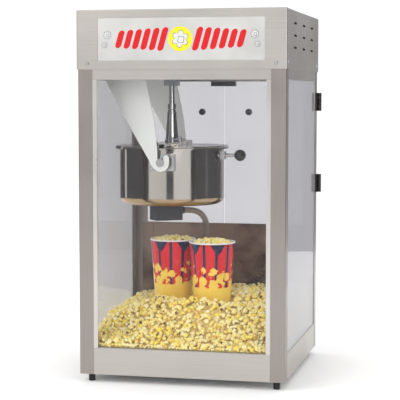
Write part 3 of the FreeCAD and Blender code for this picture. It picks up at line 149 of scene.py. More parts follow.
def stained(name, color, roughness):
    """Brushed sheet that is clean outside; inside, hot oil has browned it and left fine golden spots."""
    look = Look(name, color, roughness, 1.0)
    place = look.node("SeparateXYZ")
    look.put(place.inputs[0], look.node("TexCoord").outputs["Object"])
    inside = look.math("LESS_THAN", place.outputs[1], APRON_MIDDLE)
    marks = look.noise((ALONG_GRAIN, ALONG_GRAIN, ACROSS_GRAIN), 2.0)
    clean = look.mix(look.between(marks, 0.0, 1.0, 0.3, 0.7), tuple(0.86 * c for c in color), color)
    clouds = look.noise((7.0, 7.0, 9.0), 4.0)
    browned = look.mix(look.between(clouds, 0.0, 1.0, 0.40, 0.62), (0.30, 0.235, 0.19),
                       (0.085, 0.045, 0.036))
    spots = look.math("GREATER_THAN", look.noise((330.0,) * 3, 4.0), 0.60)
    browned = look.mix(look.math("MULTIPLY", spots, 0.55), browned, (0.42, 0.30, 0.16))
    look.set("Base Color", look.mix(inside, clean, browned))
    look.set("Roughness", look.math("ADD", look.math("MULTIPLY", inside, 0.12), roughness))
    look.bump(marks, 0.00008, 0.5)
    return look.material


def polished(name, color, roughness):
    """Spun and polished steel: faint rings, with soft smudges in the gloss."""
    look = Look(name, color, roughness, 1.0)
    rings = look.noise((3.0, 3.0, 700.0), 2.0)
    smudges = look.noise((14.0, 14.0, 14.0), 5.0)
    look.set("Base Color", look.mix(rings, tuple(0.94 * c for c in color), color))
    look.set("Roughness", look.between(smudges, roughness * 0.6, roughness * 1.9, 0.35, 0.75))
    look.bump(rings, 0.00003, 0.4)
    return look.material


def painted(name, color, roughness, grain=600.0, depth=0.00006):
    """Painted or moulded surface with a fine orange-peel texture and slight colour change."""
    look = Look(name, color, roughness)
    peel = look.noise((grain,) * 3, 2.0)
    patches = look.noise((9.0,) * 3, 3.0)
    lifted = tuple(min(1.0, 1.35 * c + 0.008) for c in color)
    look.set("Base Color", look.mix(look.between(patches, 0.0, 0.6, 0.35, 0.75), color, lifted))
    look.set("Roughness", look.between(patches, roughness - 0.06, roughness + 0.08, 0.3, 0.7))
    look.bump(peel, depth, 0.6)
    return look.material


def cast(name, color):
    """Sand-cast housing under grey paint."""
    look = Look(name, color, 0.62)
    sand = look.noise((420.0,) * 3, 5.0)
    look.set("Base Color", look.mix(sand, tuple(0.8 * c for c in color), color))
    look.bump(sand, 0.0004, 0.7)
    return look.material


def pane(name, tint, cover, grazing_cover):
    """Clear sheet with a slight tint, which covers more of what is behind it at a shallow angle."""
    look = Look(name, tint, 0.04)
    facing = look.node("LayerWeight")
    facing.inputs["Blend"].default_value = 0.25
    haze = look.noise((6.0, 6.0, 4.0), 3.0)
    shallow = look.between(facing.outputs["Facing"], cover, grazing_cover, 0.28, 0.68)
    look.set("Alpha", look.math("ADD", shallow, look.between(haze, 0.0, 0.02)))
    look.set("Specular IOR Level", 0.8)
    return look.material


STEEL = (0.54, 0.51, 0.48)
materials = {
    "front_steel": brushed("front_steel", STEEL, 0.34),
    "post_steel": brushed("post_steel", (0.36, 0.325, 0.30), 0.33, upright=True),
    "trim_steel": brushed("trim_steel", (0.66, 0.63, 0.60), 0.30, upright=True),
    "apron_steel": stained("apron_steel", (0.56, 0.53, 0.50), 0.30),
    "inner_steel": brushed("inner_steel", (0.64, 0.64, 0.65), 0.40),
    "hanger_steel": brushed("hanger_steel", (0.80, 0.81, 0.78), 0.52, upright=True),
    "bolt_steel": brushed("bolt_steel", (0.50, 0.50, 0.50), 0.32),
    "kettle_steel": polished("kettle_steel", (0.62, 0.585, 0.525), 0.085),
    "cover_steel": polished("cover_steel", (0.40, 0.29, 0.17), 0.16),
    "shaft_steel": polished("shaft_steel", (0.52, 0.52, 0.52), 0.16),
    "gearbox_iron": cast("gearbox_iron", (0.24, 0.25, 0.26)),
    "motor_paint": painted("motor_paint", (0.025, 0.025, 0.028), 0.42),
    "hinge_paint": painted("hinge_paint", (0.014, 0.014, 0.015), 0.38),
    "black_plastic": painted("black_plastic", (0.010, 0.010, 0.011), 0.24, 300.0, 0.00003),
    "black_rubber": painted("black_rubber", (0.016, 0.016, 0.016), 0.75),
    "grey_gasket": painted("grey_gasket", (0.42, 0.40, 0.37), 0.60),
    "box_paint": painted("box_paint", (0.018, 0.017, 0.018), 0.45),
    "foil": polished("foil", (0.70, 0.70, 0.70), 0.30),
    "ceramic": painted("ceramic", (0.70, 0.66, 0.58), 0.55),
    "sign_white": painted("sign_white", (0.46, 0.455, 0.44), 0.34, 200.0, 0.00002),
    "lamp_white": painted("lamp_white", (0.88, 0.88, 0.86), 0.20, 200.0, 0.00002),
    "window_pane": pane("window_pane", (0.33, 0.33, 0.37), 0.03, 0.92),
    "door_pane": pane("door_pane", (0.33, 0.32, 0.43), 0.27, 0.66),
}

NODE_LOOKS = {
    "front_steel": ["bottom_rails", "top_rails", "hood_shell"],
    "post_steel": ["corner_posts"],
    "trim_steel": ["glass_retainers"],
    "apron_steel": ["rear_apron"],
    "inner_steel": ["base_pan", "ceiling_tray", "perforated_deck", "drawer_runners", "kernel_drawer",
                    "control_panel", "sign_brackets"],
    "hanger_steel": ["front_hanger", "rear_hanger"],
    "bolt_steel": ["cabinet_fasteners", "kettle_fasteners"],
    "kettle_steel": ["kettle_pot", "crossbar", "fixed_lid", "flap_lid"],
    "cover_steel": ["kettle_bottom_cover"],
    "shaft_steel": ["drive_shaft", "agitator", "trunnions", "agitator_tower", "handle_rod"],
    "gearbox_iron": ["gearbox", "drive_bush"],
    "motor_paint": ["drive_motor"],
    "hinge_paint": ["door_hinges", "left_door_fittings", "right_door_fittings", "door_catch"],
    "black_plastic": ["switch_housings", "motor_rocker", "kettle_rocker", "warmer_rocker",
                      "left_door_knob", "right_door_knob", "handle_ball", "mains_gland"],
    "black_rubber": ["levelling_feet"],
    "grey_gasket": ["window_gaskets"],
    "box_paint": ["terminal_box", "lead_gland", "lead_socket"],
    "foil": ["deck_heaters"],
    "ceramic": ["kettle_heater"],
    "sign_white": ["sign_panel"],
    "lamp_white": ["sign_lamp"],
    "window_pane": ["front_glass", "side_glasses"],
    "door_pane": ["left_door_pane", "right_door_pane"],
}

for look_name, node_names in NODE_LOOKS.items():
    for node_name in node_names:
        for material_slot in nodes[node_name].material_slots:
            material_slot.material = materials[look_name]


# ---------------------------------------------------------------- mesh helpers
def piece(name, vertices, faces, looks, body, smooth=True):
    """A new mesh piece that rides on a CAD body and takes the given materials."""
    mesh = bpy.data.meshes.new(name)
    mesh.from_pydata([tuple(v) for v in vertices], [], [tuple(f) for f in faces])
    mesh.validate()
    for look in looks:
        mesh.materials.append(look)
    mesh.polygons.foreach_set("use_smooth", [smooth] * len(mesh.polygons))
    made = bpy.data.objects.new(name, mesh)
    bpy.context.scene.collection.objects.link(made)
    if body:
        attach(made, body)
    return made


def ring_faces(rings, sides):
    """Quads between neighbouring rings of points."""
    faces = []
    for i in range(rings - 1):
        for j in range(sides):
            k = (j + 1) % sides
            faces.append((i * sides + j, i * sides + k, (i + 1) * sides + k, (i + 1) * sides + j))
    return faces


# ---------------------------------------------------------------- lead
LEAD_DIAMETER = 0.018
LEAD_SIDES = 20
RIB_PITCH = 0.0032
RIB_DEPTH = 0.0005
LEAD_ROUTE = [
    (-0.0544, -0.0378, 0.482),
    (-0.0304, -0.0198, 0.482),
    (-0.009, 0.002, 0.470),
    (-0.001, 0.028, 0.446),
    (-0.006, 0.062, 0.412),
    (-0.020, 0.098, 0.372),
    (-0.046, 0.134, 0.342),
    (-0.074, 0.170, 0.328),
    (-0.094, 0.208, 0.330),
    (-0.100, 0.241, 0.344),
    (-0.100, 0.268, 0.344),
]


def route_line():
    """Points along the smooth NURBS line that has the route as its control points."""
    curve = bpy.data.curves.new("lead_line", "CURVE")
    curve.dimensions = "3D"
    spline = curve.splines.new("NURBS")
    spline.points.add(len(LEAD_ROUTE) - 1)
    for point, place in zip(spline.points, LEAD_ROUTE):
        point.co = (*place, 1.0)
    spline.order_u = 3
    spline.use_endpoint_u = True
    spline.resolution_u = 16
    holder = bpy.data.objects.new("lead_line", curve)
    bpy.context.scene.collection.objects.link(holder)
    mesh = bpy.data.meshes.new_from_object(holder)
    line = [v.co.copy() for v in mesh.vertices]
    bpy.data.objects.remove(holder)
    bpy.data.curves.remove(curve)
    bpy.data.meshes.remove(mesh)
    return line


def length_of(line):
    return sum((b - a).length for a, b in zip(line, line[1:]))


def evenly(line, step):
    """The same line with points a fixed step apart."""
    total = length_of(line)
    count = max(2, round(total / step))
    wanted = [total * i / count for i in range(count + 1)]
    points, gone, i = [], 0.0, 0
    for target in wanted:
        while i < len(line) - 2 and gone + (line[i + 1] - line[i]).length < target:
            gone += (line[i + 1] - line[i]).length
            i += 1
        part = (line[i + 1] - line[i]).length
        points.append(line[i].lerp(line[i + 1], min(1.0, (target - gone) / part)))
    return points


def lead_look():
    """Woven sleeve over a flexible lead: two crossing twists of yarn, browned by heat."""
    look = Look("lead_sleeve", (0.19, 0.155, 0.13), 0.72)
    yarn = look.noise((900.0,) * 3, 3.0)
    soot = look.noise((26.0,) * 3, 3.0)
    tone = look.mix(yarn, (0.10, 0.08, 0.068), (0.34, 0.285, 0.24))
    look.set("Base Color", look.mix(look.between(soot, 0.0, 0.55, 0.4, 0.7), tone, (0.09, 0.06, 0.045)))
    look.bump(yarn, 0.0005, 0.8)
    return look.material


def make_lead():
    line = route_line()
    centres = evenly(line, RIB_PITCH / 4)
    vertices = []
    side = None
    for i, centre in enumerate(centres):
        ahead = (centres[min(i + 1, len(centres) - 1)] - centres[max(i - 1, 0)]).normalized()
        side = ahead.orthogonal().normalized() if side is None else (
            side - ahead * side.dot(ahead)).normalized()
        other = ahead.cross(side)
        radius = LEAD_DIAMETER / 2 - RIB_DEPTH * (0.5 - 0.5 * math.cos(math.pi * i / 2))
        for k in range(LEAD_SIDES):
            turn = 2 * math.pi * k / LEAD_SIDES
            vertices.append(centre + radius * (math.cos(turn) * side + math.sin(turn) * other))
    faces = ring_faces(len(centres), LEAD_SIDES)
    faces.append(tuple(reversed(range(LEAD_SIDES))))
    faces.append(tuple(range(len(vertices) - LEAD_SIDES, len(vertices))))
    lead = piece("kettle_lead_sleeve", vertices, faces, [lead_look()], None)
    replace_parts(lead, "kettle_lead")
    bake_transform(lead)


make_lead()


# ---------------------------------------------------------------- sign graphics
sign_low, sign_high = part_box("sign_panel")
SIGN_FACE = sign_low[1]
SIGN_MIDDLE = (sign_low[2] + sign_high[2]) / 2
INK_ROUGHNESS = 0.35
PRINT_STEP = 0.00025        # each printed layer stands this much in front of the one below


def flat_shape(name, outline, layer, color):
    """A thin printed shape on the sign, from an outline of (x, z) points."""
    back = SIGN_FACE - PRINT_STEP * layer
    front = back - PRINT_STEP
    count = len(outline)
    vertices = [(x, back, z) for x, z in outline] + [(x, front, z) for x, z in outline]
    faces = [tuple(range(count)), tuple(reversed(range(count, 2 * count)))]
    faces += [(i, i + count, (i + 1) % count + count, (i + 1) % count) for i in range(count)]
    piece(name, vertices, faces, [ink(color)], "cabinet", smooth=False)


inks = {}


def ink(color):
    """Screen-printing ink, slightly uneven."""
    if color not in inks:
        look = Look("ink_%d" % len(inks), color, INK_ROUGHNESS)
        speckle = look.noise((380.0,) * 3, 3.0)
        worn = tuple(min(1.0, 1.12 * c + 0.012) for c in color)
        look.set("Base Color", look.mix(look.between(speckle, 0.0, 1.0, 0.4, 0.75), color, worn))
        look.bump(speckle, 0.00002, 0.4)
        look.set("Specular IOR Level", 0.25)
        inks[color] = look.material
    return inks[color]


RED = (0.56, 0.008, 0.012)
YELLOW = (0.72, 0.66, 0.02)
OUTLINE = (0.09, 0.09, 0.09)
WHITE = (0.60, 0.60, 0.585)


def slanted_bar(x, half_width, half_height, lean):
    """A leaning bar with rounded ends."""
    outline = []
    for top, start in ((1, 0.0), (-1, math.pi)):
        for k in range(13):
            turn = start + math.pi * k / 12
            z = top * (half_height - half_width) + half_width * math.sin(turn)
            outline.append((x + half_width * math.cos(turn) + lean * z, SIGN_MIDDLE + z))
    return outline


def round_shape(x, z, radius, lobes=0, swell=0.0, start=0.0):
    """A disc, or a puff with round lobes."""
    outline = []
    for k in range(72):
        turn = 2 * math.pi * k / 72
        reach = radius * (1 + swell * (abs(math.sin(lobes * turn / 2 + start)) - 0.6 if lobes else 0))
        outline.append((x + reach * math.cos(turn), z + reach * math.sin(turn)))
    return outline


PUFF_LINE = 0.0014          # width of a printed puff's outline
PUFF_SWELL = 0.42
CURL_LOBES = 4


def puff_print(name, x, z, radius, lobes, start, layer):
    """An outlined puff of popcorn with a curl in its middle."""
    curl_middle = (x + 0.1 * radius, z - 0.1 * radius)
    for part, middle, reach, count in (("outer", (x, z), radius, lobes),
                                       ("curl", curl_middle, 0.45 * radius, CURL_LOBES)):
        edge = round_shape(*middle, reach, count, PUFF_SWELL, start)
        inside = round_shape(*middle, reach - PUFF_LINE, count, PUFF_SWELL, start)
        flat_shape("%s_%s_line" % (name, part), edge, layer, OUTLINE)
        flat_shape("%s_%s_fill" % (name, part), inside, layer + 1, WHITE)
        layer += 2


BAR_HALF_WIDTH = 0.0088
BAR_HALF_HEIGHT = 0.033
BAR_PITCH = 0.0250
BAR_LEAN = 0.28
BAR_SHRINK = 0.05           # how much shorter each bar is than the one nearer the middle
BARS_EACH_SIDE = 6
FIRST_BAR = 0.050
DISC_RADIUS = 0.0345


def make_sign_graphics():
    """Candy-stripe bars either side of a yellow disc with one puff, and two small puffs outside."""
    for side_name, side in (("left", -1), ("right", 1)):
        for k in range(BARS_EACH_SIDE):
            x = side * (FIRST_BAR + k * BAR_PITCH)
            bar = slanted_bar(x, BAR_HALF_WIDTH, BAR_HALF_HEIGHT * (1 - BAR_SHRINK * k), BAR_LEAN)
            flat_shape("sign_bar_%s_%d" % (side_name, k + 1), bar, 0, RED)
        end = side * (FIRST_BAR + BARS_EACH_SIDE * BAR_PITCH + 0.012)
        puff_print("sign_puff_%s_high" % side_name, end, SIGN_MIDDLE + 0.012, 0.0105, 7, 0.4 * side, 0)
        puff_print("sign_puff_%s_low" % side_name, end + side * 0.008, SIGN_MIDDLE - 0.016, 0.0078, 6,
                   1.1, 0)
    flat_shape("sign_disc", round_shape(0, SIGN_MIDDLE, DISC_RADIUS), 0, YELLOW)
    puff_print("sign_puff_middle", 0.0, SIGN_MIDDLE, 0.0215, 6, 0.3, 1)


make_sign_graphics()


# ---------------------------------------------------------------- buckets
BUCKET_BOTTOM_RADIUS = 0.054
BUCKET_WALL = 0.0012
BUCKET_SEGMENTS = 96
BUCKET_HEIGHT = 0.205
BUCKET_STRIPES = 11.0
BUCKET_PUFFS = 15.0         # yellow puffs in one row around the bucket
NAVY_FROM = 0.76            # share of each stripe's pitch where its navy part starts
SWAG_DEPTH = 0.17           # as shares of the bucket's height
FOOT_TOP = 0.34
PUFFS_TOP = 0.68
BEAD = 0.0022


def bucket_look():
    """Printed paper: a swagged navy band over red and navy stripes, and puffs over a yellow foot."""
    look = Look("bucket_print", (0.8, 0.02, 0.03), 0.32)
    uv = look.node("SeparateXYZ")
    look.put(uv.inputs[0], look.node("TexCoord").outputs["UV"])
    around, height = uv.outputs[0], uv.outputs[1]
    stripe = look.math("FRACT", look.math("MULTIPLY", around, BUCKET_STRIPES))
    is_navy = look.math("GREATER_THAN", stripe, NAVY_FROM)
    swag_turn = look.math("MULTIPLY", around, BUCKET_STRIPES * math.pi / 2)
    wave = look.math("ABSOLUTE", look.math("SINE", swag_turn))
    is_foot = look.math("LESS_THAN", height, FOOT_TOP)
    swag = look.math("SUBTRACT", 1.0, look.math("MULTIPLY", look.math("POWER", wave, 3.0), SWAG_DEPTH))
    is_band = look.math("GREATER_THAN", height, swag)
    stretched = look.node("CombineXYZ")
    look.put(stretched.inputs[0], look.math("MULTIPLY", around, BUCKET_PUFFS))
    look.put(stretched.inputs[1], look.math("MULTIPLY", height, 7.0))
    cells = look.node("TexVoronoi")
    look.put(cells.inputs["Vector"], stretched.outputs[0])
    cells.inputs["Scale"].default_value = 1.0
    ragged = look.math("MULTIPLY", look.noise((150.0,) * 3, 2.0), 0.60)
    reach = look.math("SUBTRACT", look.between(height, 0.98, 0.63, 0.32, 0.62), ragged)
    is_puff = look.math("MULTIPLY", look.math("LESS_THAN", cells.outputs["Distance"], reach),
                        look.math("LESS_THAN", height, PUFFS_TOP))
    inside = look.math("MAXIMUM", is_foot, is_puff)
    paint = look.mix(look.math("MAXIMUM", is_navy, is_band), (0.66, 0.008, 0.012), (0.006, 0.012, 0.050))
    fade = look.noise((30.0,) * 3, 3.0)
    yellow = look.mix(fade, (0.80, 0.50, 0.035), (0.90, 0.66, 0.11))
    color = look.mix(inside, paint, yellow)
    look.set("Base Color", color)
    fibre = look.noise((700.0, 700.0, 260.0), 3.0)
    look.bump(fibre, 0.00006, 0.5)
    look.set("Specular IOR Level", 0.3)
    return look.material


def paper_look():
    look = Look("bucket_paper", (0.86, 0.85, 0.82), 0.5)
    fibre = look.noise((500.0,) * 3, 4.0)
    look.set("Base Color", look.mix(fibre, (0.78, 0.76, 0.72), (0.92, 0.91, 0.89)))
    look.bump(fibre, 0.00008, 0.6)
    return look.material


def bucket_profile(rim_radius, low, high):
    """(radius, height, printed) from the middle of the inside up, over the bead and down outside."""
    wall_top = rim_radius - BEAD
    foot = low + 0.008
    share = (foot - low) / (high - low)
    inner_foot = BUCKET_BOTTOM_RADIUS + share * (wall_top - BUCKET_BOTTOM_RADIUS) - BUCKET_WALL
    points = [(0.0005, foot, False), (inner_foot * 0.97, foot, False), (inner_foot, foot + 0.0006, False)]
    rows = 6
    for k in range(1, rows + 1):
        z = foot + (high - 2 * BEAD - foot) * k / rows
        points.append((inner_foot + (wall_top - BUCKET_WALL - inner_foot) * k / rows, z, False))
    for k in range(11):
        turn = math.pi - 1.28 * math.pi * k / 10
        points.append((wall_top + BEAD * math.cos(turn), high - BEAD + BEAD * math.sin(turn), False))
    rows = 14
    for k in range(rows + 1):
        z = high - 2.2 * BEAD + (low - high + 2.2 * BEAD) * k / rows
        share = (z - low) / (high - low)
        points.append((BUCKET_BOTTOM_RADIUS + share * (wall_top - BUCKET_BOTTOM_RADIUS), z, True))
    points += [(BUCKET_BOTTOM_RADIUS - BUCKET_WALL, low, True),
               (BUCKET_BOTTOM_RADIUS - BUCKET_WALL, low + 0.005, False), (0.0005, low + 0.005, False)]
    return points


def make_bucket(side, looks, turn_offset):
    low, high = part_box(side + "_bucket")
    middle = ((low[0] + high[0]) / 2, (low[1] + high[1]) / 2)
    rim_radius = (high[0] - low[0]) / 2
    profile = bucket_profile(rim_radius, low[2], high[2])
    vertices = []
    for radius, z, printed in profile:
        for k in range(BUCKET_SEGMENTS):
            turn = 2 * math.pi * k / BUCKET_SEGMENTS + turn_offset
            vertices.append((middle[0] + radius * math.cos(turn), middle[1] + radius * math.sin(turn), z))
    made = piece(side + "_popcorn_bucket", vertices, ring_faces(len(profile), BUCKET_SEGMENTS), looks,
                 "cabinet")
    uv = made.data.uv_layers.new(name="wrap")
    for polygon in made.data.polygons:
        ring, segment = divmod(polygon.index, BUCKET_SEGMENTS)
        polygon.material_index = 0 if profile[ring][2] and profile[ring + 1][2] else 1
        for loop in polygon.loop_indices:
            vertex = made.data.loops[loop].vertex_index
            row, column = divmod(vertex, BUCKET_SEGMENTS)
            past_seam = 1 if segment == BUCKET_SEGMENTS - 1 and column == 0 else 0
            uv.data[loop].uv = (column / BUCKET_SEGMENTS + past_seam,
                                (profile[row][1] - low[2]) / (high[2] - low[2]))
    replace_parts(made, side + "_bucket")
    return middle, rim_radius - BEAD - BUCKET_WALL, high[2]


bucket_looks = [bucket_look(), paper_look()]
buckets = [make_bucket("left", bucket_looks, 0.35), make_bucket("right", bucket_looks, 1.20)]


# ---------------------------------------------------------------- popcorn
def popcorn_look():
    """Popped corn: cream and butter-yellow lobes, amber in the folds (partly the kernel's own colour,
    partly painted shade in the creases between lobes), brown where the hull shows.
    """
    look = Look("popcorn", (0.95, 0.84, 0.40), 0.62)
    tone = look.node("Attribute", attribute_name="tone").outputs["Color"]
    split = look.node("SeparateColor")
    look.put(split.inputs[0], tone)
    fold, butter, hull = split.outputs[0], split.outputs[1], split.outputs[2]
    cream = look.mix(butter, (0.98, 0.90, 0.52), (0.98, 0.77, 0.08))
    # Amber towards each kernel's middle: partly its own colour, partly painted shade in the creases
    # between the lobes.
    amber_and_painted_shade = look.mix(look.between(fold, 0.9, 0.0, 0.06, 0.50), cream, (0.74, 0.47, 0.09))
    deep = look.between(fold, 1.0, 0.0, 0.05, 0.35)
    speck = look.math("MULTIPLY", look.math("GREATER_THAN", hull, 0.5), deep)
    look.set("Base Color", look.mix(speck, amber_and_painted_shade, (0.20, 0.075, 0.02)))
    crumb = look.noise((520.0,) * 3, 4.0)
    look.bump(crumb, 0.0006, 0.7)
    look.set("Subsurface Weight", 0.12)
    look.set("Subsurface Radius", (0.006, 0.004, 0.002))
    return look.material


def ball():
    """Points and triangles of a round ball of even triangles."""
    mesh = bmesh.new()
    bmesh.ops.create_icosphere(mesh, subdivisions=3, radius=1.0)
    mesh.verts.ensure_lookup_table()
    points = np.array([v.co[:] for v in mesh.verts])
    triangles = np.array([[v.index for v in f.verts] for f in mesh.faces])
    mesh.free()
    return points, triangles


def unit_vectors(rng, count):
    vectors = rng.normal(size=(count, 3))
    return vectors / np.linalg.norm(vectors, axis=1, keepdims=True)


def puff_shapes(rng, points, count):
    """Each popped kernel: a small core with four to seven round lobes that burst out of it."""
    shapes = []
    for _ in range(count):
        lobes = unit_vectors(rng, rng.integers(4, 8))
        reach = np.full(len(points), 0.42)
        for lobe in lobes:
            near = np.clip(points @ lobe, 0, 1)
            size = rng.uniform(0.40, 0.66)
            reach = np.maximum(reach, 0.42 + size * np.clip((near - 0.62) / 0.38, 0, 1) ** 0.45)
        waves = sum(np.sin(points @ v * rng.uniform(6, 11)) for v in unit_vectors(rng, 4))
        reach = reach * (1 + 0.035 * waves)
        fold = (reach - reach.min()) / (reach.max() - reach.min())
        shapes.append((points * reach[:, None], fold))
    return shapes


def random_turn(rng):
    """A random rotation, from a random unit quaternion."""
    w, x, y, z = unit_quaternion(rng)
    return np.array([[1 - 2 * (y * y + z * z), 2 * (x * y - z * w), 2 * (x * z + y * w)],
                     [2 * (x * y + z * w), 1 - 2 * (x * x + z * z), 2 * (y * z - x * w)],
                     [2 * (x * z - y * w), 2 * (y * z + x * w), 1 - 2 * (x * x + y * y)]])


def unit_quaternion(rng):
    q = rng.normal(size=4)
    return q / np.linalg.norm(q)


MM = 0.001
HALF = 300.0                # the pile's sizes are in millimetres
DECK_TOP = 101.5
PILE_FOOT = 10.0            # depth of the popcorn at the front glass
PILE_SLOPE = 215.0          # length of the slope up from the front glass
PILE_RISE = 84.0
PILE_LEAN = 14.0            # more on the right than on the left
PILE_LEFT_DROP = 32.0       # less at the left pane
PILE_RIPPLE = 5.0
LEFT, RIGHT = 0, 1
PILE_MOUNDS = [             # bucket, offset from it in x and y, height, spread in x and in y
    (LEFT, -16.0, -95.0, 36.0, 75.0, 55.0),
    (RIGHT, -10.0, -92.0, 38.0, 80.0, 50.0),
    (RIGHT, 78.0, 100.0, 22.0, 50.0, 90.0),
]


def pile_surface(x, y):
    """Height in metres of the popcorn's surface, as the CAD has it."""
    x, y = x / MM, y / MM
    across = x / HALF
    share = min(max((y + HALF - PILE_FOOT) / PILE_SLOPE, 0.0), 1.0)
    slope = share * share * (3 - 2 * share)
    back = max(y + 60.0, 0.0) / HALF
    front = PILE_FOOT + PILE_LEAN * (1 - across) / 2
    ripple = PILE_RIPPLE * math.sin(x / 47.0) * math.cos(y / 61.0)
    rise = PILE_RISE + PILE_LEAN * across - PILE_LEFT_DROP * max(-across, 0.0)
    mounds = 0.0
    for bucket, dx, dy, height, spread_x, spread_y in PILE_MOUNDS:
        bucket_x, bucket_y = buckets[bucket][0]
        u = (x - bucket_x / MM - dx) / spread_x
        v = (y - bucket_y / MM - dy) / spread_y
        mounds += height * math.exp(-u * u - v * v)
    return MM * (DECK_TOP + front + slope * rise + back * PILE_LEAN + mounds + ripple)


PUFF_RADIUS = 0.0112
PUFF_SPACING = 0.0150
PUFF_SHIFT = 0.005          # how far a puff strays from its even place
PUFF_SINK = 0.006           # depth of the top puffs' middles below the pile's surface
PUFF_CLEARANCE = 0.002      # to a bucket's wall
WALL_SINK = 0.012           # the puffs against the glass stop this far below the surface
BUCKET_FOOT = 0.180         # below this no bucket is in the way
pile_low, pile_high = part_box("popcorn")


def clear_of_buckets(x, y, z):
    """True where a puff doesn't reach into a bucket."""
    for (bx, by), rim_inner, rim_z in buckets:
        share = (rim_z - z) / BUCKET_HEIGHT
        radius = rim_inner - share * (rim_inner - BUCKET_BOTTOM_RADIUS) + PUFF_RADIUS + PUFF_CLEARANCE
        if z > BUCKET_FOOT and math.hypot(x - bx, y - by) < radius:
            return False
    return True


def spread(low, high):
    """Evenly spaced places between two limits."""
    count = max(1, round((high - low) / PUFF_SPACING))
    return [low + (high - low) * (i + 0.5) / count for i in range(count)]


def surface_places(rng):
    """Places of the puffs that lie on the pile."""
    places = []
    margin = PUFF_RADIUS
    for x in spread(pile_low[0] + margin, pile_high[0] - margin):
        for y in spread(pile_low[1] + margin, pile_high[1] - margin):
            px, py = x + rng.uniform(-PUFF_SHIFT, PUFF_SHIFT), y + rng.uniform(-PUFF_SHIFT, PUFF_SHIFT)
            px = min(max(px, pile_low[0] + margin), pile_high[0] - margin)
            py = min(max(py, pile_low[1] + margin), pile_high[1] - margin)
            z = pile_surface(px, py) - PUFF_SINK + rng.uniform(-0.003, 0.005)
            if clear_of_buckets(px, py, z):
                places.append((px, py, max(z, DECK_TOP * MM + PUFF_RADIUS)))
    return places


def wall_places(rng):
    """Places of the puffs that press against the front and side glass."""
    places = []
    margin = PUFF_RADIUS
    deck = DECK_TOP * MM

    def column(x, y):
        top = pile_surface(x, y) - WALL_SINK
        z = deck + PUFF_RADIUS
        while z < top:
            places.append((x, y, z + rng.uniform(-0.002, 0.002)))
            z += PUFF_SPACING

    for x in spread(pile_low[0] + margin, pile_high[0] - margin):
        column(x, pile_low[1] + margin)
    for y in spread(pile_low[1] + margin, pile_high[1] - margin):
        column(pile_low[0] + margin, y)
        column(pile_high[0] - margin, y)
    return places


SILL_PUFF_RADIUS = 0.0075
SILL_PUFF_SPACING = 0.0105


def sill_places(rng):
    """Places of the small puffs in the lowest row against the glass."""
    low = [c + SILL_PUFF_RADIUS for c in pile_low]
    high = [c - SILL_PUFF_RADIUS for c in pile_high]
    places = []
    for along, across in ((0, 1), (1, 0)):
        count = round((high[along] - low[along]) / SILL_PUFF_SPACING)
        for wall in (low[across], high[across]):
            for i in range(count):
                place = [0.0, 0.0, low[2] + rng.uniform(-0.001, 0.001)]
                place[along] = low[along] + (high[along] - low[along]) * (i + 0.5) / count
                place[across] = wall
                places.append(tuple(place))
    return places


HEAP_CLEARANCE = 0.001      # to the bucket's wall
HEAP_EDGE = 0.007           # depth of the outer puffs' middles below the rim
HEAP_RISE = 0.008


def heap_places(rng, bucket):
    """Places of the puffs heaped in a bucket."""
    (bx, by), rim_inner, rim_z = bucket
    reach = rim_inner - PUFF_RADIUS - HEAP_CLEARANCE
    places = []
    golden = math.pi * (3 - math.sqrt(5))
    count = round(1.25 * math.pi * reach ** 2 / PUFF_SPACING ** 2)
    for i in range(count):
        r = reach * math.sqrt((i + 0.5) / count)
        z = rim_z - HEAP_EDGE + HEAP_RISE * (1 - (r / reach) ** 2) + rng.uniform(-0.003, 0.002)
        places.append((bx + r * math.cos(golden * i), by + r * math.sin(golden * i), z))
    return places


def make_puffs(name, places, rng, shapes, triangles, look, largest=PUFF_RADIUS):
    """One mesh of many popped kernels, each its own closed shell."""
    all_points, all_faces, all_tones = [], [], []
    for place in places:
        points, fold = shapes[rng.integers(len(shapes))]
        size = largest * rng.uniform(0.80, 1.0)
        turned = points @ random_turn(rng).T
        reach = np.abs(turned).max()
        all_faces.append(triangles + len(points) * len(all_points))
        all_points.append(turned * (size / reach) + np.array(place))
        butter = float(np.clip(rng.beta(1.3, 1.7), 0, 1))
        hull = float(rng.random() < 0.22)
        all_tones.append(np.column_stack([fold, np.full(len(fold), butter), np.full(len(fold), hull),
                                          np.ones(len(fold))]))
    vertices = np.concatenate(all_points)
    faces = np.concatenate(all_faces)
    tones = np.concatenate(all_tones)
    mesh = bpy.data.meshes.new(name)
    mesh.from_pydata(vertices.tolist(), [], faces.tolist())
    mesh.materials.append(look)
    mesh.polygons.foreach_set("use_smooth", [True] * len(mesh.polygons))
    attribute = mesh.color_attributes.new("tone", "FLOAT_COLOR", "POINT")
    attribute.data.foreach_set("color", tones.astype(np.float32).ravel())
    made = bpy.data.objects.new(name, mesh)
    bpy.context.scene.collection.objects.link(made)
    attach(made, "cabinet")


def under_look():
    """The shaded popcorn deeper in the pile, seen between the puffs."""
    look = Look("popcorn_below", (0.70, 0.52, 0.18), 0.8)
    lumps = look.noise((120.0,) * 3, 4.0)
    look.set("Base Color", look.mix(look.between(lumps, 0.0, 1.0, 0.35, 0.7), (0.52, 0.32, 0.08),
                                    (0.90, 0.76, 0.32)))
    look.bump(lumps, 0.004, 0.9)
    return look.material


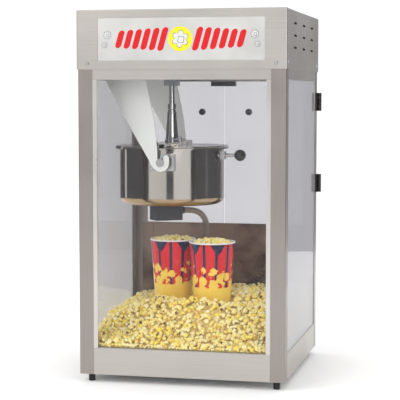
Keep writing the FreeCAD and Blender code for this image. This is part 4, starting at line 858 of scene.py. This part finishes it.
def make_pile_core():
    """Closed mass under the puffs, so that nothing shows through between them."""
    inset = 0.008
    drop = 0.012
    cells = 44
    xs = [pile_low[0] + inset + (pile_high[0] - pile_low[0] - 2 * inset) * i / cells
          for i in range(cells + 1)]
    ys = [pile_low[1] + inset + (pile_high[1] - pile_low[1] - 2 * inset) * j / cells
          for j in range(cells + 1)]
    deck = DECK_TOP * MM + 0.0004
    row = cells + 1
    vertices = [(x, y, max(pile_surface(x, y) - drop, deck + 0.001)) for y in ys for x in xs]
    vertices += [(x, y, deck) for y in ys for x in xs]
    base = row * row
    faces = []
    for j in range(cells):
        for i in range(cells):
            a = j * row + i
            faces.append((a, a + 1, a + row + 1, a + row))
            faces.append((base + a, base + a + row, base + a + row + 1, base + a + 1))
    for i in range(cells):
        for a, b in ((i, i + 1), (cells * row + i + 1, cells * row + i),
                     ((i + 1) * row, i * row), (i * row + cells, (i + 1) * row + cells)):
            faces.append((b, a, base + a, base + b))
    return piece("popcorn_core", vertices, faces, [under_look()], "cabinet")


def make_popcorn():
    rng = np.random.default_rng(20)
    points, triangles = ball()
    shapes = puff_shapes(rng, points, 14)
    look = popcorn_look()
    surface = surface_places(rng)
    middle_y = (pile_low[1] + pile_high[1]) / 2
    groups = {
        "popcorn_front_left": [p for p in surface if p[1] < middle_y and p[0] < 0],
        "popcorn_front_right": [p for p in surface if p[1] < middle_y and p[0] >= 0],
        "popcorn_rear_left": [p for p in surface if p[1] >= middle_y and p[0] < 0],
        "popcorn_rear_right": [p for p in surface if p[1] >= middle_y and p[0] >= 0],
        "popcorn_at_glass": wall_places(rng),
        "popcorn_left_heap": heap_places(rng, buckets[0]),
        "popcorn_right_heap": heap_places(rng, buckets[1]),
    }
    for name, places in groups.items():
        make_puffs(name, places, rng, shapes, triangles, look)
    make_puffs("popcorn_at_sill", sill_places(rng), rng, shapes, triangles, look, SILL_PUFF_RADIUS)
    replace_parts(make_pile_core(), "popcorn")


make_popcorn()


# ---------------------------------------------------------------- studio
def make_floor():
    """Pale round floor under a studio that is as pale, so that its edge doesn't show."""
    reach = 3.2
    sides = 96
    rim = [(reach * math.cos(2 * math.pi * k / sides), reach * math.sin(2 * math.pi * k / sides), 0)
           for k in range(sides)]
    mesh = bpy.data.meshes.new("floor")
    mesh.from_pydata(rim, [], [tuple(range(sides))])
    look = Look("floor", (0.97, 0.97, 0.97), 0.9)
    look.set("Specular IOR Level", 0.0)
    mesh.materials.append(look.material)
    floor = bpy.data.objects.new("floor", mesh)
    bpy.context.scene.collection.objects.link(floor)


def make_light(name, place, target, size, power):
    light = bpy.data.lights.new(name, "AREA")
    light.shape = "RECTANGLE"
    light.size, light.size_y = size
    light.energy = power
    made = bpy.data.objects.new(name, light)
    made.location = place
    made.rotation_euler = (Vector(target) - Vector(place)).to_track_quat("-Z", "Y").to_euler()
    bpy.context.scene.collection.objects.link(made)


# What gloss sees around the studio, as (share of the turn, brightness): 0 and 1 are the front, 0.25
# is the left, 0.5 the back and 0.75 the right.
STUDIO_BANDS = [
    (0.0, 0.75), (0.12, 0.85),
    (0.15, 0.05), (0.29, 0.05),
    (0.30, 0.80), (0.308, 0.80),
    (0.32, 0.05), (0.40, 0.08),
    (0.44, 0.55), (0.55, 0.55),
    (0.58, 0.07), (0.72, 0.05),
    (0.73, 0.18), (0.745, 0.05), (0.835, 0.05),
    (0.855, 0.90), (0.945, 0.90),
    (0.957, 0.08), (0.99, 0.08),
    (1.0, 0.75),
]
OVERHEAD_FROM, OVERHEAD_FULL = 0.45, 0.80       # height of a direction where the overhead grey takes over


def make_world():
    """White studio. Gloss sees light panels with dark gaps between them, and grey overhead."""
    world = bpy.data.worlds.new("studio")
    bpy.context.scene.world = world
    world.use_nodes = True
    tree = world.node_tree
    tree.nodes.clear()

    def node(kind, **settings):
        made = tree.nodes.new("ShaderNode" + kind)
        for key, value in settings.items():
            setattr(made, key, value)
        return made

    direction = node("SeparateXYZ")
    tree.links.new(node("TexCoord").outputs["Generated"], direction.inputs[0])
    azimuth = node("Math", operation="ARCTAN2")
    tree.links.new(direction.outputs[0], azimuth.inputs[0])
    tree.links.new(direction.outputs[1], azimuth.inputs[1])
    share = node("MapRange")
    share.inputs[1].default_value = -math.pi
    share.inputs[2].default_value = math.pi
    tree.links.new(azimuth.outputs[0], share.inputs[0])
    bands = node("ValToRGB")
    bands.color_ramp.interpolation = "EASE"
    ramp = bands.color_ramp.elements
    for element, (position, value) in zip(ramp, (STUDIO_BANDS[0], STUDIO_BANDS[-1])):
        element.position = position
        element.color = (value,) * 3 + (1,)
    for position, value in STUDIO_BANDS[1:-1]:
        ramp.new(position).color = (value,) * 3 + (1,)
    tree.links.new(share.outputs[0], bands.inputs[0])
    above = node("MapRange")
    above.inputs[1].default_value = OVERHEAD_FROM
    above.inputs[2].default_value = OVERHEAD_FULL
    tree.links.new(direction.outputs[2], above.inputs[0])
    overhead = node("Mix", data_type="RGBA")
    overhead.inputs[7].default_value = (0.75, 0.75, 0.75, 1)
    tree.links.new(above.outputs[0], overhead.inputs[0])
    tree.links.new(bands.outputs[0], overhead.inputs[6])
    glossy = node("Background")
    tree.links.new(overhead.outputs[2], glossy.inputs[0])
    white = node("Background")
    white.inputs[0].default_value = (1.0, 1.0, 1.0, 1)
    white.inputs[1].default_value = 1.04
    path = node("LightPath")
    mixed = node("MixShader")
    tree.links.new(path.outputs["Is Glossy Ray"], mixed.inputs[0])
    tree.links.new(white.outputs[0], mixed.inputs[1])
    tree.links.new(glossy.outputs[0], mixed.inputs[2])
    tree.links.new(mixed.outputs[0], node("OutputWorld").inputs[0])


CAMERA_PLACE = (0.915, -4.0254, 0.8292)
CAMERA_DOWN = 4.4165        # degrees below level
CAMERA_TURN = 12.9776       # degrees round from the front


def make_camera():
    """Slightly right of the front and a little above the middle."""
    camera = bpy.data.cameras.new("camera")
    camera.sensor_width = 36.0
    camera.lens = 122.85
    made = bpy.data.objects.new("camera", camera)
    made.location = CAMERA_PLACE
    made.rotation_euler = (math.radians(90 - CAMERA_DOWN), 0, math.radians(CAMERA_TURN))
    bpy.context.scene.collection.objects.link(made)
    bpy.context.scene.camera = made


make_floor()
make_world()
make_light("key", (-2.2, -3.2, 2.9), (0, 0, 0.6), (2.2, 2.2), 46)
make_light("fill", (1.4, -3.4, 1.5), (0, 0, 0.3), (1.8, 1.8), 26)
make_light("rear", (0.4, 2.8, 2.2), (0, 0, 0.6), (2.4, 1.6), 16)
make_camera()
bpy.context.scene.view_settings.view_transform = "Standard"
